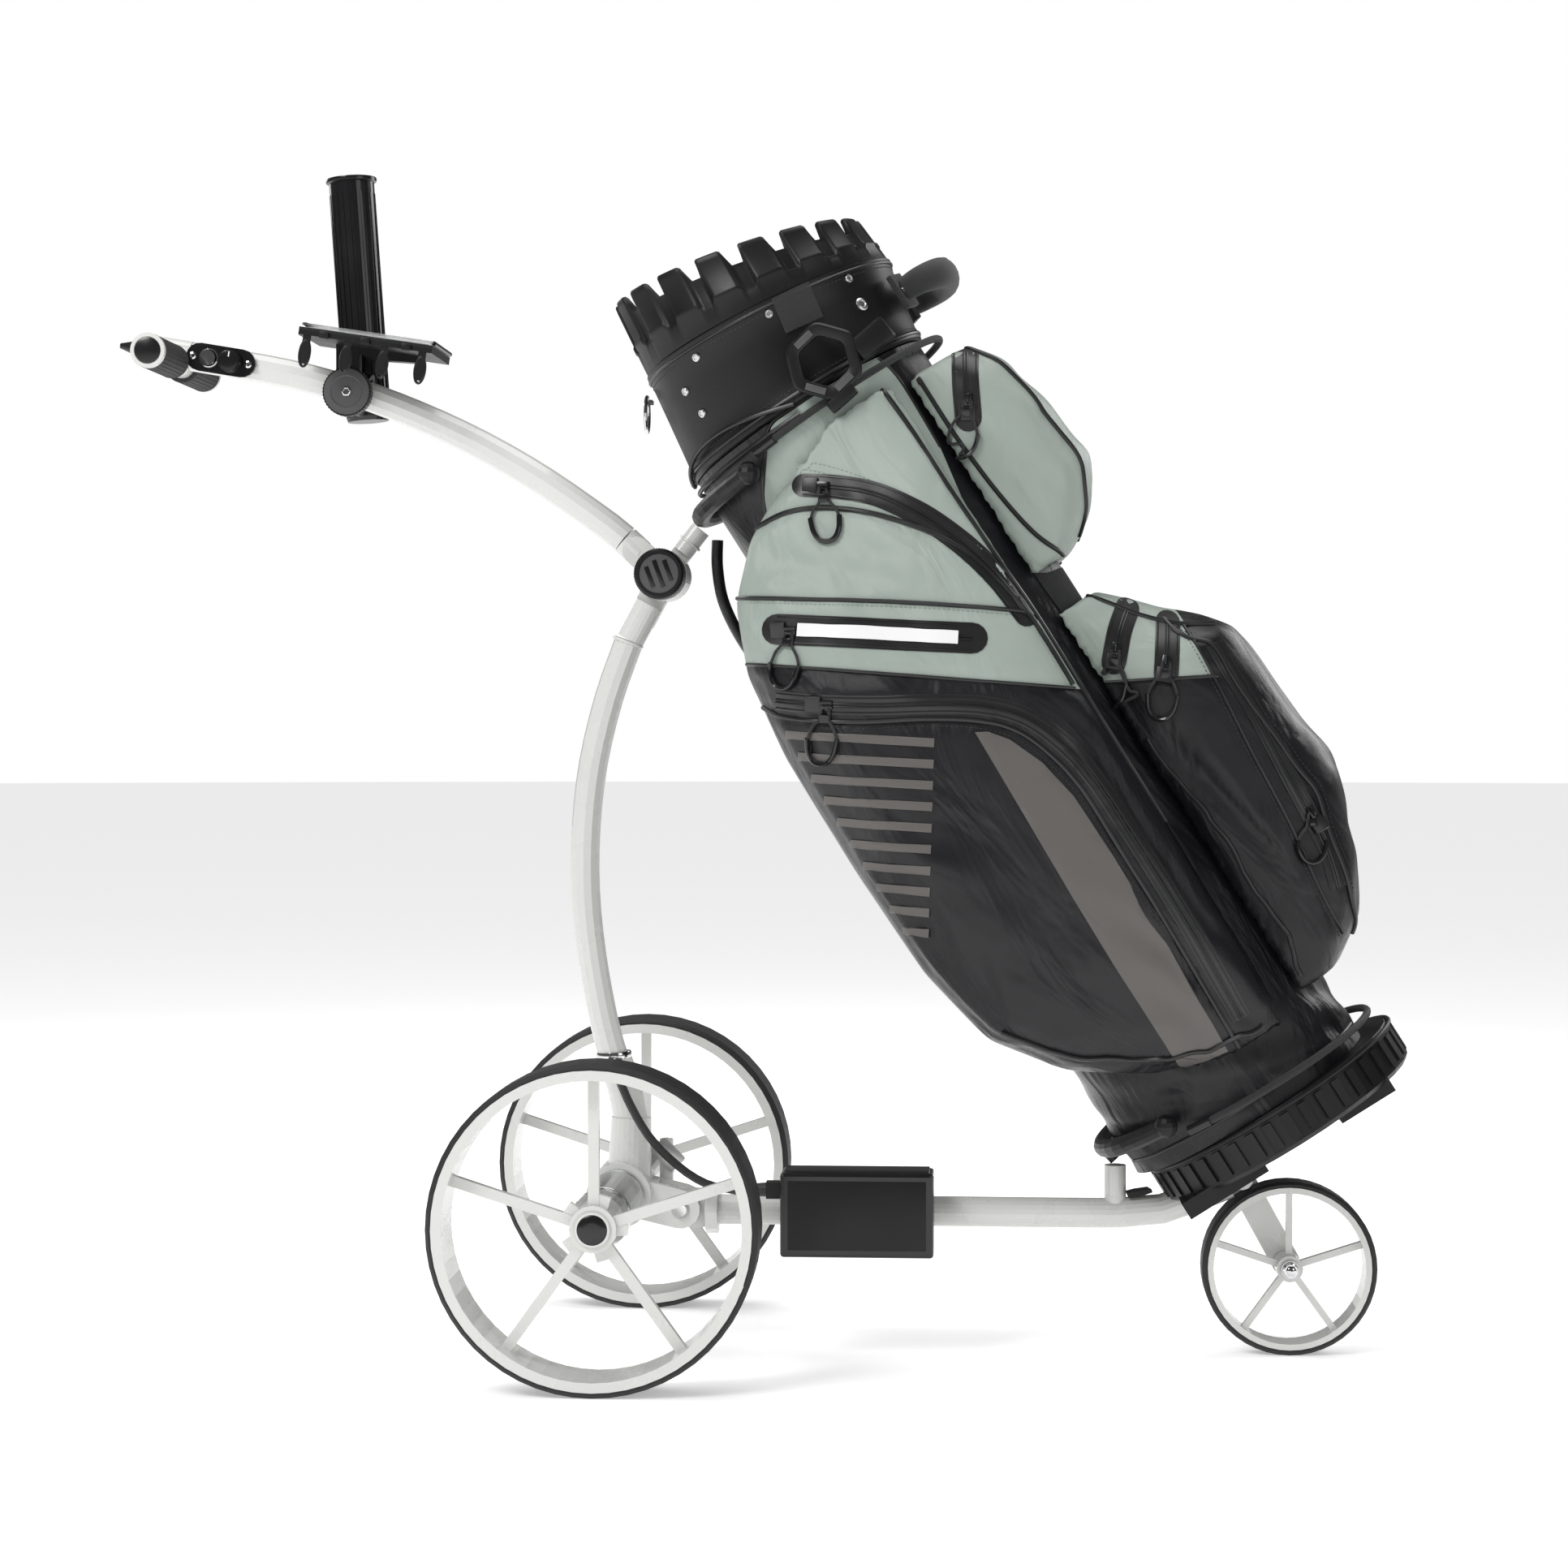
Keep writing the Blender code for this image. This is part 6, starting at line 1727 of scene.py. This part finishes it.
@dataclass
class Chassis:
    """Small parts on the frame: knob, cable exit, latch, battery lid, motors and welds."""

    joint: Point = (-0.0864, 0.0, 0.7173)

    def build(self) -> None:
        """Adds the details."""
        self._knob()
        self._grommet()
        self._battery()
        self._motors()
        self._caps()

    def _knob(self) -> None:
        """Ribs round the clamp knob, its grey centre and three slanted grooves."""
        x, _, z = self.joint
        face = axis_place((x, -0.05, z), (0, -1, 0))
        parts = [Repeat.make("ring", "knob_ribs", PLASTIC, axis_place((x, -0.039, z), (0, -1, 0)),
            Count=60, Radius=0.0227, Deep=0.0012, Wide=0.0012, Tall=0.018),
            turned("knob_rim", [(0.0228, -0.003), (0.0226, 0.0), (0.021, 0.0016), (0.0186, 0.0016),
            (0.018, 0.0004), (0.018, -0.003)], PLASTIC, face, 60, True),
            turned("knob_centre", mm((18.2, -1), (18, 0.3), (10, 1), (0.1, 1.2)), GREY_PLASTIC,
            face, 48)]
        for k in (-1, 0, 1):
            long = 0.026 - abs(k) * 0.006
            spot = face @ Matrix.Rotation(radians(20), 4,
                "Z") @ Matrix.Translation((k * 0.0088, 0, 0.0009))
            parts.append(block(f"knob_groove_{k}", (0.0042, long, 0.0014), SMOOTH_PLASTIC, spot,
                0.0005))
        settle(join("clamp_knob_details", parts), "clamp_knob")

    def _grommet(self) -> None:
        """Square cable exit near the top of the sleeve, and the sleeve's collar."""
        place = surface_place(Vector((-0.131, -0.016, 0.264)), Vector((0.08, -1, 0.1)),
            Vector((0.1, 0, 1)))
        parts = [block("cable_plate", (0.013, 0.013, 0.003), CHROME, place, 0.0008),
            turned("cable_ferrule", [(0.0054, -0.002), (0.0054, 0.0035), (0.0042, 0.0045),
            (0.0042, -0.002)], CHROME, place, 24, True)]
        parts.append(turned("sleeve_ring", [(0.0158, -0.0035), (0.0164, -0.002), (0.0164, 0.002),
            (0.0158, 0.0035), (0.0139, 0.0035), (0.0139, -0.0035)], CHROME,
            axis_place((-0.1334, 0, 0.271), (-0.075, 0, 1)), 40, True))
        latch = surface_place(Vector((-0.085, 0.019, 0.176)), Vector((0, 1, 0)), Vector((1, 0, -1)))
        parts.append(block("fold_latch", (0.03, 0.02, 0.006), SATIN, latch, 0.0025, 0.92))
        settle(join("frame_fittings", parts), "chassis")

    def _battery(self) -> None:
        """The battery's lid and side panel, and the plug's boot."""
        low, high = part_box("battery_case")
        middle_x, middle_z = (low[0] + high[0]) / 2, (low[2] + high[2]) / 2
        near = low[1]
        parts = [block("battery_lid", (high[0] - low[0] - 0.008, high[1] - low[1] - 0.008, 0.0022),
            SMOOTH_PLASTIC, Matrix.Translation((middle_x, (low[1] + high[1]) / 2,
            high[2] + 0.0006)), 0.0009), block("battery_panel",
            (high[0] - low[0] - 0.014, high[2] - low[2] - 0.014, 0.001), PLASTIC,
            axis_place((middle_x, near - 0.0002, middle_z), (0, -1, 0)), 0.0004)]
        boot = smooth_line([(-0.03, -0.04, 0.1545), (-0.01, -0.04, 0.152), (0.0118, -0.04, 0.1525)],
            step=0.002)
        parts.append(swept("plug_boot", boot, lambda share: 0.0044 + 0.0022 * share, RUBBER, 14))
        settle(join("battery_details", parts), "chassis")

    def _motors(self) -> None:
        """End bands, screws and clutch lugs on the two tubular motors."""
        parts = []
        for side in Side:
            sign = side.value
            for k, y in enumerate((0.042, 0.15)):
                place = axis_place((AXLE_X, sign * y, AXLE_Z), (0, sign, 0))
                parts.append(turned(f"motor_{side.word}_band_{k}",
                    mm((24.8, -3), (25.6, -2.2), (25.6, 2.2), (24.8, 3)), SATIN, place, 48, True))
            parts.append(Repeat.make("ring", f"motor_{side.word}_screws", CHROME,
                axis_place((AXLE_X, sign * 0.1616, AXLE_Z), (0, sign, 0)), Count=4, Radius=0.019,
                Deep=0.0045, Wide=0.0045, Tall=0.001))
            parts.append(Repeat.make("ring", f"clutch_{side.word}_slots", CHROME,
                axis_place((AXLE_X, sign * 0.1655, AXLE_Z), (0, sign, 0)), Count=12, Radius=0.0256,
                Deep=0.0014, Wide=0.004, Tall=0.006))
        settle(join("motor_details", parts), "chassis")

    def _caps(self) -> None:
        """Weld beads where the tubes meet the castings."""
        parts = []
        for k, (where, axis, radius) in enumerate((((-0.0368, 0, 0.128), (1, 0, 0), 0.0141),
                ((-0.12, 0, 0.656), (0.35, 0, 0.94), 0.0141),
                ((-0.062, 0.0, 0.7475), (0.62, 0, 0.79), 0.0104))):
            parts.append(turned(f"weld_{k}", [(radius - 0.001, -0.0016), (radius + 0.0007, -0.0009),
                (radius + 0.0009, 0.0), (radius + 0.0007, 0.0009), (radius - 0.001, 0.0016)],
                WHITE_PAINT, axis_place(where, axis), 40, True))
        settle(join("frame_welds", parts), "chassis")


@dataclass
class Handle:
    """Grips, controls, umbrella tube and scorecard tray."""

    grip: Point = (-0.5444, 0.0, 0.9175)
    clamp: Point = (-0.378, 0.0, 0.8902)
    umbrella: Point = (-0.3715, 0.042, 0.866)
    tray_far: Flat = (-0.411, 0.9445)
    tray_near: Flat = (-0.289, 0.926)

    def build(self) -> None:
        """Adds the details."""
        self._grips()
        self._controls()
        self._umbrella()
        self._tray()

    def _grips(self) -> None:
        """Rows of small bumps on the foam, and the bar's black end plugs."""
        x, _, z = self.grip
        dots, ends = [], []
        for side in Side:
            sign = side.value
            middle = axis_place((x, sign * 0.0608, z), (0, sign, 0))
            dots.append(Repeat.make("dots", f"grip_{side.word}_dots", FOAM, middle, Rows=26,
                Columns=22, Radius=0.0154, Length=0.078, Dot=0.0012))
            for k, y in enumerate((0.02, 0.1012)):
                ring = axis_place((x, sign * y, z), (0, sign, 0))
                dots.append(turned(f"grip_{side.word}_lip_{k}",
                    mm((15, -1.5), (16, -0.8), (16, 0.8), (15, 1.5)), FOAM, ring, 40, True))
            tip = axis_place((x, sign * 0.108, z), (0, sign, 0))
            ends.append(turned(f"bar_{side.word}_plug", [(0.0122, -0.001), (0.012, 0.0004),
                (0.0095, 0.0012), (0.0001, 0.0016)], SMOOTH_PLASTIC, tip, 40))
            ends.append(turned(f"bar_{side.word}_ring", [(0.0159, -0.0012), (0.0157, 0.0003),
                (0.0126, 0.0006), (0.0122, -0.0012)], WHITE_PAINT, tip, 40, True))
        settle(join("grip_surface", dots), "handle")
        settle(join("bar_end_plugs", ends), "handle")

    def _controls(self) -> None:
        """Screws and a frame on the switch plate; a pointer and ribs on the dial."""
        place = Matrix.Translation((-0.499, 0, 0.9185)) @ Matrix.Rotation(radians(9.5), 4, "Y")
        parts = []
        for x in (-0.0265, 0.0265):
            spot = place @ axis_place((x, -0.0178, 0), (0, -1, 0))
            parts.append(turned(f"plate_screw_{x}", mm((3.4, -0.6), (3.4, 0.8), (2, 1.3),
                (1.4, 0.6), (0.1, 0.6)), CHROME, spot, 20))
        bezel = place @ axis_place((-0.011, -0.0178, 0), (0, -1, 0))
        parts.append(turned("button_bezel", mm((9.2, -0.4), (9, 1.6), (7.8, 1.8), (7.6, -0.4)),
            CHROME, bezel, 36, True))
        settle(join("control_screws", parts), "handle")
        hub = place @ axis_place((0.01, -0.03, 0), (0, -1, 0))
        grip = place @ axis_place((0.01, -0.024, 0), (0, -1, 0))
        dial = [Repeat.make("ring", "dial_ribs", PLASTIC, grip, Count=30, Radius=0.0103, Deep=0.001,
            Wide=0.0009, Tall=0.0095), turned("dial_face",
            [(0.0098, -0.001), (0.0094, 0.0003), (0.007, 0.0008), (0.0001, 0.0005)], SMOOTH_PLASTIC,
            hub, 40), block("dial_pointer", (0.0012, 0.005, 0.0008), WHITE_PRINT,
            hub @ Matrix.Translation((0.0, 0.0058, 0.0008)), 0.0003)]
        settle(join("speed_dial_details", dial), "dial")

    def _umbrella(self) -> None:
        """Upright ribs round the umbrella tube, its rim and a clamp screw."""
        x, y, z = self.umbrella
        axis = Vector((-sin(radians(4)), 0, cos(radians(4))))
        base = Vector((x, y, z))
        ribs = Repeat.make("ring", "umbrella_ribs", SMOOTH_PLASTIC,
            axis_place(base + axis * 0.112, axis), Count=22, Radius=0.0209, Deep=0.0014, Wide=0.002,
            Tall=0.205)
        rim = turned("umbrella_rim", [(0.0213, -0.004), (0.0236, -0.003), (0.024, -0.001),
            (0.0236, 0.0006), (0.02, 0.0008), (0.0196, -0.004)], SMOOTH_PLASTIC,
            axis_place(base + axis * 0.229, axis), 48, True)
        settle(join("umbrella_tube_details", [ribs, rim]), "umbrella_holder")
        x, _, z = self.clamp
        face = axis_place((x, -0.031, z - 0.003), (0, -1, 0))
        parts = [turned("clamp_face", mm((21.8, -1), (21, 0.6), (15, 1), (14, 0.2), (6, 0.4),
            (0.1, 0.4)), GREY_PLASTIC, face, 48), turned("clamp_screw",
            mm((4.6, 0), (4.6, 2.2), (3.6, 3), (2.6, 1.4), (0.1, 1.4)), CHROME, face, 6),
            Repeat.make("ring", "clamp_ribs", PLASTIC, axis_place((x, -0.0255, z - 0.003),
            (0, -1, 0)), Count=44, Radius=0.0222, Deep=0.0012, Wide=0.0014, Tall=0.0095)]
        settle(join("clamp_details", parts), "handle")

    def _tray(self) -> None:
        """The card under the lid, its clip, tabs, ball rings and rim, and the lid's hinge and
        frame.
        """
        run = (self.tray_near[0] - self.tray_far[0], self.tray_near[1] - self.tray_far[1])
        slab = (Matrix.Translation((self.tray_far[0], 0, self.tray_far[1])) @
            Matrix.Rotation(atan2(-run[1], run[0]), 4, "Y"))
        parts = [block("score_card", (0.113, 0.086, 0.001), CARD,
            slab @ Matrix.Translation((0.061, -0.0318, -0.0022)), 0.0003),
            block("card_clip", (0.012, 0.03, 0.006), PLASTIC,
            slab @ Matrix.Translation((-0.002, -0.0318, -0.005)), 0.0015)]
        for k, x in enumerate((0.024, 0.062, 0.1)):
            parts.append(block(f"tray_tab_{k}", (0.0085, 0.004, 0.0064), PLASTIC,
                slab @ Matrix.Translation((x, -0.0815, -0.008)), 0.001))
        for k, x in enumerate((0.008, 0.046, 0.08, 0.115)):
            ring = [(x + 0.0046 * cos(t), -0.0785, -0.0265 + 0.012 * sin(t)) for t in
                (2 * pi * i / 20 for i in range(20))]
            parts.append(swept(f"tee_loop_{k}", [Vector(p) for p in ring], 0.0013, PLASTIC, 8,
                closed=True, place=slab))
        parts.append(swept("tray_rim", [Vector(p) for p in mm((1, -79.5, -5), (122.5, -79.5, -5),
            (122.5, 16, -5), (1, 16, -5))], 0.0016, PLASTIC, 8, closed=True, place=slab))
        settle(join("scorecard_tray_details", parts), "handle")
        lid = [swept("lid_hinge", [Vector((0.1238, -0.076, -0.0006)),
            Vector((0.1238, 0.012, -0.0006))], 0.0022, SMOOTH_PLASTIC, 12, place=slab),
            block("lid_frame_a", (0.004, 0.093, 0.0024), SMOOTH_PLASTIC,
            slab @ Matrix.Translation((0.0045, -0.0318, 0.0003)), 0.0006)]
        settle(join("scorecard_lid_details", lid), "card_lid")


@dataclass
class CadDress:
    """Gives every CAD node that stays visible its finish."""

    finishes: dict[str, Finish] = field(default_factory=lambda: {"frame_paint": WHITE_PAINT,
        "tyre_rubber": TYRE, "chrome": CHROME, "motor_silver": SATIN, "black_plastic": PLASTIC,
        "clear_plastic": CLEAR, "grip_foam": FOAM, "cable_rubber": RUBBER,
        "collar_leather": LEATHER, "black_fabric": BLACK_CLOTH, "sage_fabric": SAGE_CLOTH})
    special: dict[str, Finish] = field(default_factory=lambda: {"nose_cone": SMOOTH_PLASTIC,
        "battery_case": SMOOTH_PLASTIC, "umbrella_tube": SMOOTH_PLASTIC,
        "control_plate": SMOOTH_PLASTIC, "hub_cap_left": SMOOTH_PLASTIC,
        "hub_cap_right": SMOOTH_PLASTIC, "divider_grid": PLASTIC})

    def build(self) -> None:
        """Assigns the materials."""
        slots = {row["node"]: row["material_slot"] for row in frame["record"]["subparts"]}
        for name, node in frame["nodes"].items():
            finish = self.special.get(name, self.finishes[slots[name]])
            if not node.material_slots:
                node.data.materials.append(finish.material())
            for slot in node.material_slots:
                slot.material = finish.material()
        LOG.info("%d CAD nodes have their finishes", len(slots))


@dataclass
class Studio:
    """Pale floor, soft lights and the camera."""

    eye: Point = (0.208, -2.988, 0.579)
    yaw: float = 3.5
    pitch: float = 1.05
    lens: float = 74.05
    reach: float = 30.0
    seen: float = 1.0
    bounce: float = 0.55
    mirrored: float = 0.1

    def build(self) -> None:
        """Builds the studio."""
        camera = bpy.data.objects.new("camera", bpy.data.cameras.new("camera"))
        camera.data.lens = self.lens
        camera.data.sensor_width = 36.0
        camera.location = self.eye
        camera.rotation_euler = (radians(90 - self.pitch), 0.0, radians(self.yaw))
        link(camera)
        bpy.context.scene.camera = camera
        floor = Finish("studio_floor", "floor", (0.94, 0.94, 0.94), (0.93, 0.93, 0.93),
            rough=(0.8, 0.9), bump=0.0, dust=0.0, specular=0.1, glow=0.36)
        edge = [(self.reach * cos(2 * pi * k / 64), self.reach * sin(2 * pi * k / 64),
            0.0) for k in range(64)]
        ground = make_object("floor", edge, [tuple(range(64))], floor)
        if ground.data.polygons[0].normal.z < 0:
            ground.data.flip_normals()
        self._sky()
        bpy.context.scene.view_settings.view_transform = "Standard"
        middle = (0.0, 0.0, 0.5)
        for name, where, target, size, power in (("key", (-1.7, -2.2, 2.9), middle, 1.3, 62.0),
                ("fill", (2.6, -2.4, 1.5), middle, 1.6, 12.0),
                ("top", (0.1, 0.3, 3.2), middle, 2.0, 34.0),
                ("rim", (1.8, 1.8, 1.6), middle, 1.2, 14.0),
                ("rim_left", (-1.8, 1.8, 1.9), middle, 1.2, 14.0)):
            data = bpy.data.lights.new(name, "AREA")
            data.energy, data.size = power, size
            light = bpy.data.objects.new(name, data)
            light.location = where
            light.rotation_euler = (Vector(target) - Vector(where)).to_track_quat("-Z",
                "Y").to_euler()
            link(light)

    def _sky(self) -> None:
        """A white surround; it is weaker in mirrors, so that black surfaces stay black."""
        world = bpy.context.scene.world or bpy.data.worlds.new("studio")
        bpy.context.scene.world = world
        world.use_nodes = True
        tree = world.node_tree
        path = add_node(tree, "ShaderNodeLightPath")
        gloss = add_node(tree, "ShaderNodeMapRange", {"Value": path.outputs["Is Glossy Ray"],
            "To Min": self.bounce, "To Max": self.mirrored})
        strength = add_node(tree, "ShaderNodeMapRange",
            {"Value": path.outputs["Is Camera Ray"], "To Min": gloss.outputs["Result"],
            "To Max": self.seen})
        back = tree.nodes["Background"]
        back.inputs["Color"].default_value = (1.0, 1.0, 1.0, 1.0)
        tree.links.new(strength.outputs["Result"], back.inputs["Strength"])


def main() -> None:
    """Builds everything in order and reports each piece."""
    logging.basicConfig(level=logging.INFO, format="%(name)s: %(message)s")
    steps = [Studio(), CadDress(), Wheels(), Chassis(), Handle(), BagBody(), CollarAndCrown(),
        BagTrim(), SidePocket(Side.RIGHT), SidePocket(Side.LEFT), FrontTopPocket(),
        FrontLowerPocket()]
    for step in steps:
        LOG.info("building %s", type(step).__name__)
        step.build()


if __name__ == "__main__":
    main()
